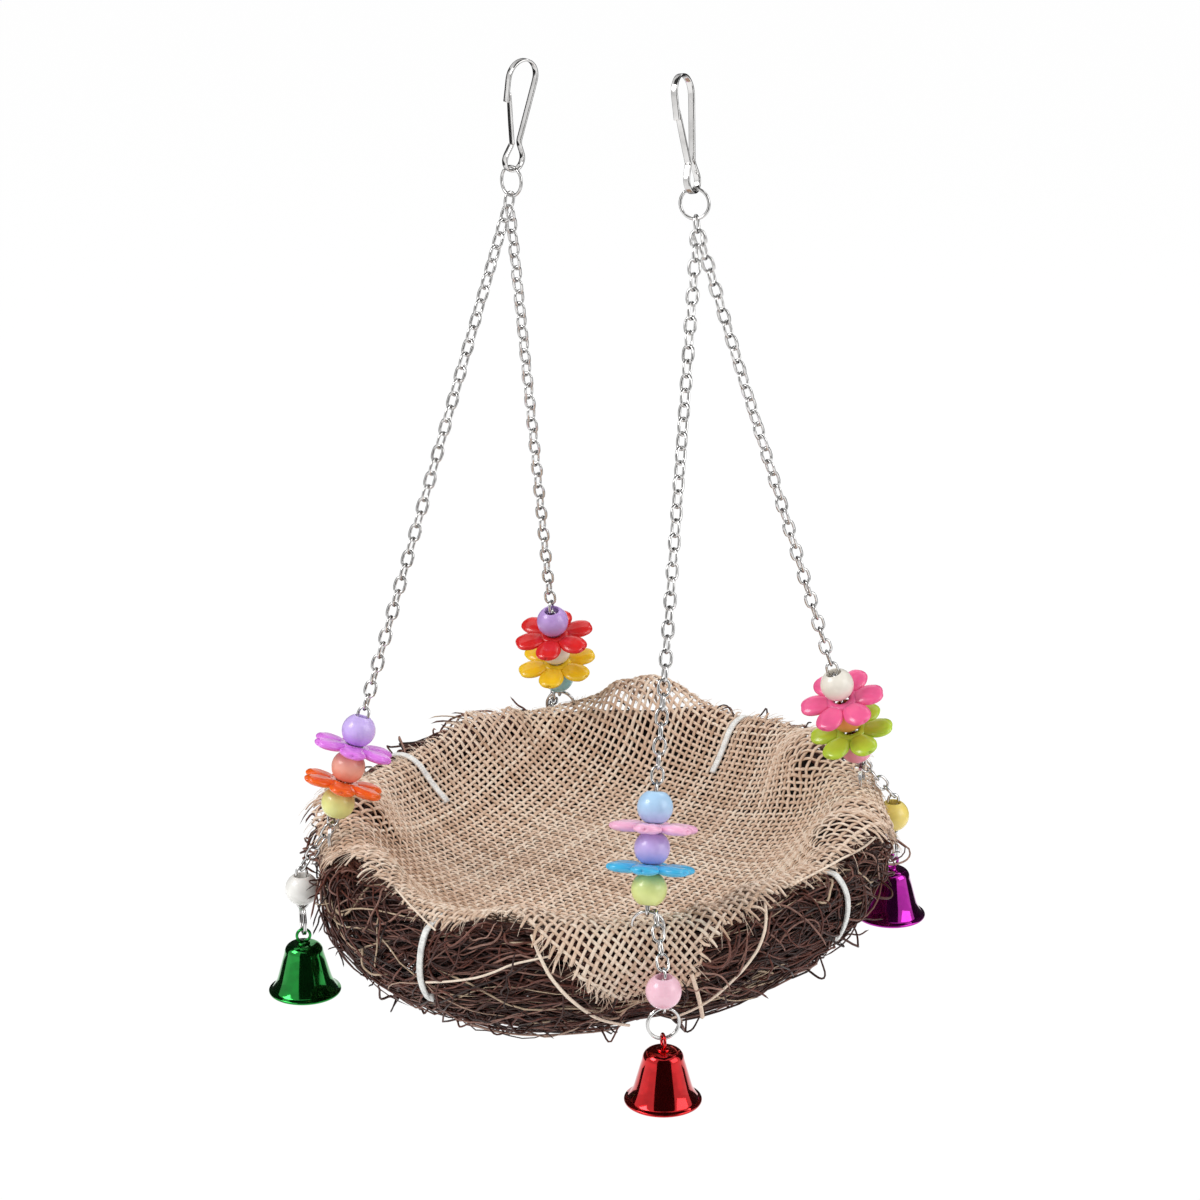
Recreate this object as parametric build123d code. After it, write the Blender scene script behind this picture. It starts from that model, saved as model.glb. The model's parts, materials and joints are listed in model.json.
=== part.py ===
"""A nest swing: a twig bowl hung by four chains from two snap hooks."""

import os
from math import acos, atan2, ceil, cos, degrees, hypot, radians, sin, sqrt

from build123d import *

# Driving dimensions, in millimetres and degrees

# Layout
HOOK_SPACING = 73.0  # between the hooks where they bear on the cage bar
NEST_DROP = 300.0  # from the bar down to the middle of the nest's rim
NEST_TILT = 4.5  # the front and left chains hang longer than the other two
CORNERS = {"front": -45.0, "right": 45.0, "back": 135.0, "left": 225.0}
SIDES = {"left": -1, "right": 1}
CHAINS_OF = {"left": ("back", "left"), "right": ("front", "right")}

# Snap hooks, bent from flat strip
HOOK_STRIP = 1.0
HOOK_WIDTH = 2.6
HOOK_BEND = 6.5  # inner radius of the bend that hangs on the bar
HOOK_TIP_LENGTH = 9.0
HOOK_LEG_SLANT = 12.0
HOOK_NECK_HALF = 1.7
HOOK_NECK_FILLET = 3.0
HOOK_EYE_RADIUS = 4.6
HOOK_EYE_DROP = 6.6  # from the neck down to the middle of the eye
HOOK_TURN = {"left": 79.0, "right": 98.0}
GATE_STRIP = 0.8
GATE_GAP = 0.15
GATE_OVERLAP = 3.5  # how far the gate reaches up inside the hook's tip

# Top rings
TOP_RING_RADIUS = 5.7
TOP_RING_WIRE = 1.2
TOP_RING_PLAY = 0.55
TOP_RING_TURN = {"left": -11.0, "right": 15.0}
YOKE_PLAY = 0.3

# Chain links
LINK_WIRE = 1.0
LINK_LENGTH = 7.6
LINK_WIDTH = 5.4
LINK_PLAY = 0.06
YOKE_SPREAD = 0.65  # each chain's first link sits this far off the yoke's middle

# Split rings at the rim and over the bells
SPLIT_RADIUS = 6.1
SPLIT_WIRE = 1.4
SPLIT_PLAY = 0.3
RIM_RING_OUT = 5.5  # from the rim's middle out to the rim rings
RIM_RING_RISE = 2.5
RIM_RING_TURN = -20.0

# Beads and flowers on the chains
BEAD_RADIUS = 6.75
BORE_RADIUS = 3.1
STACK_LIFT = 1.6
STACK_GAP = 0.12
HUB_RADIUS = 6.4
HUB_THICK = 3.0
PETALS = 6
PETAL_REACH = 17.0
PETAL_ROOT = 4.2  # a petal's inner end, inside the hub
PETAL_WIDTH = 9.8
PETAL_THICK = 4.2
PETAL_FILLET = 1.9
DIMPLE_RADIUS = 0.7
DIMPLE_DEPTH = 1.5

# Tails of the chains over the rim, and the drops that carry the bells
TAIL_ANGLE = 30.0  # round the rim ring from its top
TAIL_SLOPE = 52.0
TAIL_LINKS = 4
DROP_LINKS = 3
DROP_PLAY = 0.2
BEAD_REST = 0.2

# Bells
BELL_CROWN = 7.8
BELL_SHOULDER = 3.6
BELL_WAIST = 10.8
BELL_WAIST_DEPTH = 14.5
BELL_LIP = 14.2
BELL_HEIGHT = 20.5
BELL_WALL = 0.8
BELL_EYE_RADIUS = 2.7
BELL_EYE_WIRE = 1.2
BELL_EYE_PLAY = 0.2
STEM_RADIUS = 0.9
STEM_CLEARANCE = 0.1
WASHER_RADIUS = 2.6
WASHER_THICK = 0.6
INNER_EYE_RADIUS = 1.7
INNER_EYE_WIRE = 0.9
CLAPPER_PLAY = 0.1
CLAPPER_ROD = 0.6
CLAPPER_BALL = 3.0
CLAPPER_DEPTH = 19.2  # from the crown down to the middle of the ball

# Nest
RIM_RADIUS = 103.0  # to the middle of the bundle of twigs round the rim
BUNDLE_RADIUS = 11.0
NEST_HEIGHT = 40.0
FLOOR_THICK = 12.0
FLOOR_RADIUS = 45.0
NEST_CLEARANCE = 0.3

# Liner, a square of cloth with its corners over the rim
CLOTH_THICK = 1.2
CLOTH_GAP = 0.3
CLOTH_INSET = 8.0  # from the rim's middle in to the cloth's straight edges
FLAP_ANGLE = 32.0
FLAP_TOP = 2.0
FLAP_DROP = 26.0
FLAP_TIP_HALF = 4.0

# Cable ties
TIE_ANGLES = (0.0, 90.0, 180.0, 270.0)
TIE_WIDTH = 2.7
TIE_THICK = 1.2
TIE_GAP = 0.3
TIE_REACH = 21.0  # from the rim's middle in to where a tie enters the bowl
TIE_OUTER_ANGLE = 20.0
TIE_HEAD = (3.2, 4.6, 5.0)

UP = Vector(0, 0, 1)
QUARTER = 90.0
LINK_BOW = (LINK_WIDTH - LINK_WIRE) / 2
LINK_STRAIGHT = LINK_LENGTH - LINK_WIDTH
LINK_PITCH = LINK_LENGTH - 2 * LINK_WIRE - LINK_PLAY
BOW_TO_BOW = LINK_LENGTH - LINK_WIRE
HOOK_MEAN = HOOK_BEND + HOOK_STRIP / 2
BEAD_HALF = sqrt(BEAD_RADIUS**2 - BORE_RADIUS**2)
PETAL_LENGTH = PETAL_REACH - PETAL_ROOT
RING_TO_LINK = (SPLIT_WIRE + LINK_WIRE) / 2 + SPLIT_PLAY
RIM_RING_SEAT = RIM_RADIUS + RIM_RING_OUT
CLOTH_HALF = RIM_RADIUS - CLOTH_INSET
TIE_INNER_RADIUS = RIM_RADIUS - TIE_REACH

# The nest stands in its own frame, middle of the rim's top at its origin
NEST = Pos(0, 0, -NEST_DROP) * Rot(NEST_TILT, 0, 0)


def corner_frame(corner):
    """The nest's frame turned so that its X points out to one corner."""
    return NEST * Rot(0, 0, CORNERS[corner])


def point(frame, *place):
    """A point given in a frame, in the part's own frame."""
    return (frame * Pos(*place)).position


def direction(frame, *way):
    """A direction given in a frame, in the part's own frame."""
    return (point(frame, *way) - frame.position).normalized()


def across(vector, axis):
    """The part of a vector square to an axis, as a unit vector."""
    return (vector - axis * vector.dot(axis)).normalized()


def rim_ring_frame(corner):
    """Middle of a rim ring: X along its axis, Y along its wire at the top."""
    return corner_frame(corner) * Pos(RIM_RING_SEAT, 0, RIM_RING_RISE) * Rot(0, 0, RIM_RING_TURN)


def chain_foot(corner):
    """Middle of the rim ring's wire at its top, where the chain pulls on it."""
    return point(rim_ring_frame(corner), 0, 0, SPLIT_RADIUS)


def pull_point(side):
    """Half way between the feet of one side's two chains."""
    first, second = CHAINS_OF[side]
    return (chain_foot(first) + chain_foot(second)) / 2


PULL = pull_point("right")
HANG_LEAN = degrees(atan2(PULL.X - HOOK_SPACING / 2, -PULL.Z))


def hanger_frame(side):
    """A hook's bearing point, Z up along the line of its pull."""
    sign = SIDES[side]
    return Pos(sign * HOOK_SPACING / 2, 0, 0) * Rot(0, -sign * HANG_LEAN, 0)


# Hook outline, X towards the back leg and Y up, from the bearing point
LEG_TOP = (
    HOOK_MEAN * cos(radians(HOOK_LEG_SLANT)),
    -HOOK_BEND - HOOK_MEAN * sin(radians(HOOK_LEG_SLANT)),
)
LEG_LENGTH = (LEG_TOP[0] - HOOK_NECK_HALF) / sin(radians(HOOK_LEG_SLANT))
NECK_HEIGHT = LEG_TOP[1] - LEG_LENGTH * cos(radians(HOOK_LEG_SLANT))
EYE_HEIGHT = NECK_HEIGHT - HOOK_EYE_DROP
HOOK_REACH = HOOK_EYE_RADIUS - EYE_HEIGHT - HOOK_STRIP / 2  # bar to the eye's bearing
GATE_PIVOT = Vector(-HOOK_NECK_HALF, NECK_HEIGHT)
GATE_TIP = Vector(
    -HOOK_BEND + GATE_GAP + GATE_STRIP / 2,
    -HOOK_BEND - HOOK_TIP_LENGTH + GATE_OVERLAP,
)

# Distances down the line of pull from the bar
TOP_RING_AT = HOOK_REACH - TOP_RING_WIRE / 2 - TOP_RING_PLAY + TOP_RING_RADIUS
RING_FOOT_AT = TOP_RING_AT + TOP_RING_RADIUS
YOKE_TOP_AT = RING_FOOT_AT - (TOP_RING_WIRE + LINK_WIRE) / 2 - YOKE_PLAY
YOKE_FOOT_AT = YOKE_TOP_AT + BOW_TO_BOW


def in_elevation(shape):
    """Stand a flat shape up, its Y along Z."""
    return Plane.XZ * shape


def hook():
    """The bent strip without its gate."""
    neck = Vector(HOOK_NECK_HALF, NECK_HEIGHT)
    eye = Vector(0, EYE_HEIGHT)
    away = hypot(HOOK_NECK_HALF, HOOK_EYE_DROP)
    touch = degrees(atan2(HOOK_EYE_DROP, HOOK_NECK_HALF) - acos(HOOK_EYE_RADIUS / away))
    tip = Line((-HOOK_MEAN, -HOOK_BEND - HOOK_TIP_LENGTH), (-HOOK_MEAN, -HOOK_BEND))
    bend = CenterArc((0, -HOOK_BEND), HOOK_MEAN, 180, -180 - HOOK_LEG_SLANT)
    leg = Line(bend @ 1, neck)
    loop = CenterArc(eye, HOOK_EYE_RADIUS, touch, -180 - 2 * touch)
    entry = Line(neck, loop @ 0)
    back_off = (HOOK_STRIP + GATE_STRIP) / 2 + GATE_GAP
    exit_end = GATE_PIVOT + (loop @ 1 - GATE_PIVOT).normalized() * back_off
    path = Wire([tip, bend, leg, entry, loop, Line(loop @ 1, exit_end)])
    corner = path.vertices().sort_by_distance(neck)[0]
    path = path.fillet_2d(HOOK_NECK_FILLET, [corner])
    strip = make_face(path.offset_2d(HOOK_STRIP / 2))
    return extrude(in_elevation(strip), HOOK_WIDTH / 2, both=True)


def gate():
    """The free leg that closes the hook, round at its foot."""
    run = GATE_TIP - GATE_PIVOT
    middle = (GATE_TIP + GATE_PIVOT) / 2
    slot = SlotCenterToCenter(run.length, GATE_STRIP, rotation=degrees(atan2(run.Y, run.X)))
    return extrude(in_elevation(Pos(middle.X, middle.Y) * slot), HOOK_WIDTH / 2, both=True)


def chain_link():
    """One oval link, its length along X and its loop in XY."""
    bow = LINK_BOW
    half = LINK_STRAIGHT / 2
    upper = Line((-half, bow), (half, bow))
    right = CenterArc((half, 0), bow, 90, -180)
    lower = Line((half, -bow), (-half, -bow))
    left = CenterArc((-half, 0), bow, 270, -180)
    path = Wire([upper, right, lower, left])
    section = Plane(origin=(-half, bow, 0), z_dir=(1, 0, 0)) * Circle(LINK_WIRE / 2)
    return sweep(section, path)


LINK = chain_link()


def placed_link(middle, along, normal):
    """A link with its length along one direction and its loop square to another."""
    return Plane(origin=middle, x_dir=along, z_dir=across(normal, along)).location * LINK


def run_of_links(start, along, count, pitch, normal, turn=QUARTER):
    """Links in a row; start is the middle of the first link's near bow."""
    first = start + along * (BOW_TO_BOW / 2)
    links = []
    for place in range(count):
        facing = normal.rotate(Axis((0, 0, 0), along), turn * place)
        links.append(placed_link(first + along * (pitch * place), along, facing))
    return links


def taut_chain(start, end, first_normal, last_normal):
    """A straight chain between two bows, twisted a little to suit both its ends."""
    span = end - start
    along = span.normalized()
    spare = span.length - BOW_TO_BOW
    steps = ceil(spare / LINK_PITCH)
    first = across(first_normal, along)
    last = across(last_normal, along)
    between = first.get_signed_angle(last, along) - QUARTER * steps
    twist = (between + QUARTER) % (2 * QUARTER) - QUARTER
    return run_of_links(start, along, steps + 1, spare / steps, first, QUARTER + twist / steps)


def ring(radius, wire):
    """A plain wire ring in the YZ plane."""
    return Rot(0, 90, 0) * Torus(radius, wire / 2)


def bead():
    """A round bead with a bore for the chain."""
    skin = ThreePointArc((BORE_RADIUS, -BEAD_HALF), (BEAD_RADIUS, 0), (BORE_RADIUS, BEAD_HALF))
    bore = Line((BORE_RADIUS, BEAD_HALF), (BORE_RADIUS, -BEAD_HALF))
    return revolve(in_elevation(make_face([skin, bore])), Axis.Z)


def flower():
    """A flat flower: rounded petals round a bored hub, one petal dimpled."""
    outline = Pos(PETAL_REACH - PETAL_LENGTH / 2, 0) * Ellipse(PETAL_LENGTH / 2, PETAL_WIDTH / 2)
    petal = extrude(outline, PETAL_THICK / 2, both=True)
    petal = fillet(petal.faces().filter_by(Plane.XY).edges(), PETAL_FILLET)
    body = Cylinder(HUB_RADIUS, HUB_THICK)
    for place in range(PETALS):
        body += Rot(0, 0, 360.0 / PETALS * place) * petal
    body -= Cylinder(BORE_RADIUS, PETAL_THICK + BEAD_RADIUS)
    dimple = Pos(PETAL_REACH, 0, 0) * Rot(0, 90, 0) * Cylinder(DIMPLE_RADIUS, 2 * DIMPLE_DEPTH)
    return body - dimple


BELL_STEM = BELL_WALL + INNER_EYE_RADIUS
BELL_EYE_AT = WASHER_THICK + BELL_EYE_RADIUS  # middle of the eye above the crown
INNER_EYE_AT = -BELL_STEM - INNER_EYE_WIRE
CLAPPER_PIVOT = INNER_EYE_AT - INNER_EYE_RADIUS


def bell_profile(inset):
    """One side of the bell's wall from its crown to its lip, moved in by the inset."""
    crown = BELL_CROWN - BELL_SHOULDER
    top = Line((0, -inset), (crown, -inset))
    shoulder = CenterArc((crown, -BELL_SHOULDER), BELL_SHOULDER - inset, 90, -90)
    waist = (BELL_WAIST - inset, -BELL_WAIST_DEPTH)
    side = Line(shoulder @ 1, waist)
    flare = TangentArc(waist, (BELL_LIP - inset, -BELL_HEIGHT), tangent=side % 1)
    return [top, shoulder, side, flare]


def bell():
    """The cup, and the wire hanger through its crown."""
    outer = bell_profile(0)
    inner = bell_profile(BELL_WALL)
    axis = Line(outer[0] @ 0, inner[0] @ 0)
    lip = Line(outer[-1] @ 1, inner[-1] @ 1)
    cup = revolve(in_elevation(make_face(outer + [lip] + inner + [axis])), Axis.Z)
    cup -= Cylinder(STEM_RADIUS + STEM_CLEARANCE, 4 * BELL_WALL)
    upper_eye = Pos(0, 0, BELL_EYE_AT) * Rot(90, 0, 0) * Torus(BELL_EYE_RADIUS, BELL_EYE_WIRE / 2)
    washer = Pos(0, 0, WASHER_THICK / 2) * Cylinder(WASHER_RADIUS, WASHER_THICK)
    stem_length = WASHER_THICK - INNER_EYE_AT - INNER_EYE_RADIUS
    stem = Pos(0, 0, WASHER_THICK - stem_length / 2) * Cylinder(STEM_RADIUS, stem_length)
    lower_eye = Pos(0, 0, INNER_EYE_AT) * Rot(90, 0, 0) * Torus(INNER_EYE_RADIUS, INNER_EYE_WIRE / 2)
    return [cup, upper_eye + washer + stem + lower_eye]


def clapper():
    """A small eye, a rod and a ball, hung in the bell's inner eye."""
    eye_at = CLAPPER_PIVOT + INNER_EYE_WIRE + CLAPPER_PLAY - INNER_EYE_RADIUS
    eye = Pos(0, 0, eye_at) * ring(INNER_EYE_RADIUS, INNER_EYE_WIRE)
    rod_top = eye_at - INNER_EYE_RADIUS
    rod_length = CLAPPER_DEPTH + rod_top
    rod = Pos(0, 0, rod_top - rod_length / 2) * Cylinder(CLAPPER_ROD, rod_length)
    return eye + rod + Pos(0, 0, -CLAPPER_DEPTH) * Sphere(CLAPPER_BALL)


# Section of the nest: rim bundle, outer wall and bowl are arcs that meet smoothly
BUNDLE = Vector(RIM_RADIUS, -BUNDLE_RADIUS)
WALL_RADIUS = NEST_HEIGHT - BUNDLE_RADIUS
WALL = Vector(RIM_RADIUS + BUNDLE_RADIUS - WALL_RADIUS, -BUNDLE_RADIUS)
FLOOR = FLOOR_THICK - NEST_HEIGHT
FLOOR_OUT = RIM_RADIUS - FLOOR_RADIUS
FLOOR_DOWN = BUNDLE.Y - FLOOR
BOWL_RADIUS = (FLOOR_OUT**2 + FLOOR_DOWN**2 - BUNDLE_RADIUS**2) / (2 * (FLOOR_DOWN + BUNDLE_RADIUS))
BOWL = Vector(FLOOR_RADIUS, FLOOR + BOWL_RADIUS)
MEET_ANGLE = degrees(atan2(BOWL.Y - BUNDLE.Y, BOWL.X - BUNDLE.X))


def bundle_arc(lift, start, end):
    """Round the rim bundle, a little off its surface."""
    return CenterArc(BUNDLE, BUNDLE_RADIUS + lift, start, end - start)


def wall_arc(lift, start, end):
    """Down the outer wall, a little off its surface."""
    return CenterArc(WALL, WALL_RADIUS + lift, start, end - start)


def bowl_arc(lift, start, end):
    """Inside the bowl, a little off its surface."""
    return CenterArc(BOWL, BOWL_RADIUS - lift, start, end - start)


def lining_edges(lift):
    """From the axis over the floor and up the bowl to the top of the rim."""
    floor = Line((0, FLOOR + lift), (FLOOR_RADIUS, FLOOR + lift))
    return [floor, bowl_arc(lift, -90, MEET_ANGLE - 180), bundle_arc(lift, MEET_ANGLE, 90)]


def flap_edges(lift):
    """From the top of the rim down outside it."""
    return [bundle_arc(lift, 90, 0), wall_arc(lift, 0, -FLAP_ANGLE)]


def turned_sheet(edges_at):
    """A sheet of cloth turned about the nest's axis, a small gap off the twigs."""
    under = edges_at(CLOTH_GAP)
    over = edges_at(CLOTH_GAP + CLOTH_THICK)
    near = Line(under[0] @ 0, over[0] @ 0)
    far = Line(under[-1] @ 1, over[-1] @ 1)
    return revolve(in_elevation(make_face(under + [far] + over + [near])), Axis.Z)


def nest_solid():
    """The twig bowl as one solid of revolution."""
    base = Line((0, -NEST_HEIGHT), (WALL.X, -NEST_HEIGHT))
    wall = CenterArc(WALL, WALL_RADIUS, -90, 90)
    rim = bundle_arc(0, 0, MEET_ANGLE)
    bowl = bowl_arc(0, MEET_ANGLE - 180, -90)
    floor = Line(bowl @ 1, (0, FLOOR))
    axis = Line((0, FLOOR), (0, -NEST_HEIGHT))
    return revolve(in_elevation(make_face([base, wall, rim, bowl, floor, axis])), Axis.Z)


def liner_solid():
    """The square of cloth in the bowl and its four corners over the rim."""
    square = Box(2 * CLOTH_HALF, 2 * CLOTH_HALF, 4 * NEST_HEIGHT)
    cloth = turned_sheet(lining_edges) & square
    flaps = turned_sheet(flap_edges)
    flap_half = RIM_RADIUS * sin(radians(QUARTER / 2) - acos(CLOTH_HALF / RIM_RADIUS))
    triangle = Polygon(
        (-flap_half, FLAP_TOP),
        (-FLAP_TIP_HALF, -FLAP_DROP),
        (FLAP_TIP_HALF, -FLAP_DROP),
        (flap_half, FLAP_TOP),
        align=None,
    )
    for angle in CORNERS.values():
        outward = Plane((0, 0, 0), x_dir=(0, 1, 0), z_dir=(1, 0, 0)) * triangle
        cloth += flaps & (Rot(0, 0, angle) * extrude(outward, 2 * RIM_RADIUS))
    return cloth


def tie_loop(clearance):
    """A tie's strap through the wall and over the rim, grown by a clearance."""
    lift = CLOTH_GAP + CLOTH_THICK + TIE_GAP + TIE_THICK / 2
    over = bundle_arc(lift, 0, MEET_ANGLE)
    reach = TIE_INNER_RADIUS - FLOOR_RADIUS
    inside = bowl_arc(lift, MEET_ANGLE - 180, -degrees(acos(reach / (BOWL_RADIUS - lift))))
    outside = wall_arc(lift, -TIE_OUTER_ANGLE, 0)
    through = Line(inside @ 1, outside @ 0)
    loop = make_face([over, inside, through, outside])
    half = TIE_THICK / 2 + clearance
    strap = offset(loop, half) - offset(loop, -half)
    return extrude(in_elevation(strap), TIE_WIDTH / 2 + clearance, both=True)


def cable_tie():
    """A strap and its locking head outside the wall."""
    lift = CLOTH_GAP + CLOTH_THICK + TIE_GAP + TIE_THICK + TIE_HEAD[0] / 2
    angle = radians(TIE_OUTER_ANGLE)
    out = WALL_RADIUS + lift
    head = Pos(WALL.X + out * cos(angle), 0, WALL.Y - out * sin(angle))
    return tie_loop(0) + head * Rot(0, TIE_OUTER_ANGLE, 0) * Box(*TIE_HEAD)


def save(name, pieces):
    """Write one node, as one solid or a group of solids."""
    shape = pieces[0] if len(pieces) == 1 else Compound(children=list(pieces))
    export_step(shape, f"parts/{name}.step")


def hanger_links(side):
    """The middle of the yoke's foot, its side way and the way its loop faces."""
    frame = hanger_frame(side) * Rot(0, 0, TOP_RING_TURN[side])
    foot = point(frame, 0, 0, -YOKE_FOOT_AT)
    return foot, direction(frame, 0, 1, 0), direction(frame, 1, 0, 0)


def chain_ends(corner, side):
    """Where a chain starts in its yoke and where it ends under its rim ring's wire."""
    foot, sideways, _ = hanger_links(side)
    below = chain_foot(corner)
    offset_way = YOKE_SPREAD if below.Y > 0 else -YOKE_SPREAD
    rise = LINK_BOW - sqrt(LINK_BOW**2 - YOKE_SPREAD**2)
    upward = (foot - below).normalized()
    start = foot + sideways * offset_way + upward * (LINK_WIRE + LINK_PLAY + rise)
    return start, below - upward * RING_TO_LINK


def stack_places(corner, side):
    """The middles of the five pieces on a chain, from the top down, and the chain's way up."""
    start, end = chain_ends(corner, side)
    upward = (start - end).normalized()
    foot = end + upward * (RING_TO_LINK + SPLIT_WIRE / 2 + STACK_LIFT)
    step = BEAD_HALF + STACK_GAP + HUB_THICK / 2
    lowest = foot + upward * BEAD_HALF
    return [lowest + upward * (step * place) for place in (4, 3, 2, 1, 0)], upward


def tail_frame(corner):
    """Start of the tail on its rim ring: X down along the tail, Z across its first link."""
    ring_frame = rim_ring_frame(corner)
    angle = radians(TAIL_ANGLE)
    wire = point(ring_frame, 0, SPLIT_RADIUS * sin(angle), SPLIT_RADIUS * cos(angle))
    wire_way = direction(ring_frame, 0, cos(angle), -sin(angle))
    slope = radians(TAIL_SLOPE)
    along = direction(corner_frame(corner), cos(slope), 0, -sin(slope))
    return Plane(wire - along * RING_TO_LINK, x_dir=along, z_dir=across(wire_way, along))


def drop_frame(corner):
    """Top of a drop: Z up, X along the axis of its bell ring."""
    tail = tail_frame(corner)
    end = tail.origin + tail.x_dir * ((TAIL_LINKS - 1) * LINK_PITCH + BOW_TO_BOW)
    inward = (UP - tail.x_dir).normalized()
    top = end + inward * (LINK_WIRE + DROP_PLAY)
    last_bow = tail.y_dir if TAIL_LINKS % 2 else tail.z_dir
    ring_turn = QUARTER * (DROP_LINKS % 2)
    facing = across(last_bow, UP).rotate(Axis.Z, ring_turn)
    return Plane(top, x_dir=facing, z_dir=UP)


# Depths below the top of a drop
DROP_END = (DROP_LINKS - 1) * LINK_PITCH + BOW_TO_BOW
BELL_RING_TOP = DROP_END - RING_TO_LINK
DROP_BEAD_AT = BELL_RING_TOP - SPLIT_WIRE / 2 - BEAD_REST - BEAD_HALF
BELL_RING_AT = BELL_RING_TOP + SPLIT_RADIUS
BELL_PIVOT = BELL_RING_AT + SPLIT_RADIUS
BELL_EYE_TOP = BELL_PIVOT - (SPLIT_WIRE + BELL_EYE_WIRE) / 2 - BELL_EYE_PLAY
BELL_CROWN_AT = BELL_EYE_TOP + BELL_EYE_RADIUS + BELL_EYE_AT


def save_hangers():
    """Hooks, gates, top rings and yoke links."""
    hook_solid = hook()
    gate_solid = gate()
    ring_solid = Rot(0, 0, 90) * ring(TOP_RING_RADIUS, TOP_RING_WIRE)
    for side in SIDES:
        frame = hanger_frame(side)
        hook_place = frame * Rot(0, 0, HOOK_TURN[side])
        save(f"{side}_hook", [hook_place * hook_solid])
        save(f"{side}_gate", [hook_place * gate_solid])
        ring_place = frame * Pos(0, 0, -TOP_RING_AT) * Rot(0, 0, TOP_RING_TURN[side])
        save(f"{side}_top_ring", [ring_place * ring_solid])
        foot, _, facing = hanger_links(side)
        upward = direction(frame, 0, 0, 1)
        save(f"{side}_yoke_link", [placed_link(foot + upward * (BOW_TO_BOW / 2), upward, facing)])


def save_chains():
    """The four chains with the beads and flowers threaded on them."""
    bead_solid = bead()
    flower_solid = flower()
    names = ("top_bead", "upper_flower", "middle_bead", "lower_flower", "bottom_bead")
    for side, corners in CHAINS_OF.items():
        _, sideways, _ = hanger_links(side)
        for corner in corners:
            start, end = chain_ends(corner, side)
            wire_way = direction(rim_ring_frame(corner), 0, 1, 0)
            save(f"{corner}_chain", taut_chain(start, end, sideways, wire_way))
            places, upward = stack_places(corner, side)
            for name, middle in zip(names, places):
                solid = flower_solid if "flower" in name else bead_solid
                facing = Plane(middle, x_dir=across(UP, upward), z_dir=upward)
                save(f"{corner}_{name}", [facing.location * solid])


def save_drops():
    """The tails over the rim, and the beads and bells that hang from them."""
    ring_solid = ring(SPLIT_RADIUS, SPLIT_WIRE)
    bead_solid = bead()
    bell_solids = bell()
    clapper_solid = clapper()
    tails = []
    for corner in CORNERS:
        tail = tail_frame(corner)
        tails += run_of_links(tail.origin, tail.x_dir, TAIL_LINKS, LINK_PITCH, tail.z_dir)
        drop = drop_frame(corner)
        first_facing = drop.y_dir if DROP_LINKS % 2 else drop.x_dir
        links = run_of_links(drop.origin, -UP, DROP_LINKS, LINK_PITCH, first_facing)
        save(f"{corner}_drop_chain", links)
        hang = drop.location
        save(f"{corner}_drop_bead", [hang * Pos(0, 0, -DROP_BEAD_AT) * bead_solid])
        save(f"{corner}_bell_ring", [hang * Pos(0, 0, -BELL_RING_AT) * ring_solid])
        crown = hang * Pos(0, 0, -BELL_CROWN_AT)
        save(f"{corner}_bell", [crown * solid for solid in bell_solids])
        save(f"{corner}_clapper", [crown * clapper_solid])
    save("shoulder_links", tails)


def save_nest():
    """The twig bowl, its liner, ties and rim rings, with passages where they cross."""
    rings = [rim_ring_frame(corner) * ring(SPLIT_RADIUS, SPLIT_WIRE) for corner in CORNERS]
    tie = cable_tie()
    ties = [NEST * Rot(0, 0, angle) * tie for angle in TIE_ANGLES]
    passage = ring(SPLIT_RADIUS, SPLIT_WIRE + 2 * NEST_CLEARANCE)
    slot = tie_loop(NEST_CLEARANCE)
    nest = NEST * nest_solid()
    liner = NEST * liner_solid()
    for corner in CORNERS:
        nest -= rim_ring_frame(corner) * passage
        liner -= rim_ring_frame(corner) * passage
    for angle in TIE_ANGLES:
        nest -= NEST * Rot(0, 0, angle) * slot
        liner -= NEST * Rot(0, 0, angle) * slot
    save("nest_bowl", [nest])
    save("burlap_liner", [liner])
    save("rim_rings", rings)
    save("cable_ties", ties)


os.makedirs("parts", exist_ok=True)
save_hangers()
save_chains()
save_drops()
save_nest()
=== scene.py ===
"""Looks of a nest swing: a twig bowl lined with burlap, hung by chains with beads, flowers and bells."""

import json
import logging
from dataclasses import dataclass, field
from enum import Enum

import bmesh
import bpy
import numpy as np
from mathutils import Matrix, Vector
from numpy.typing import NDArray


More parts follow.
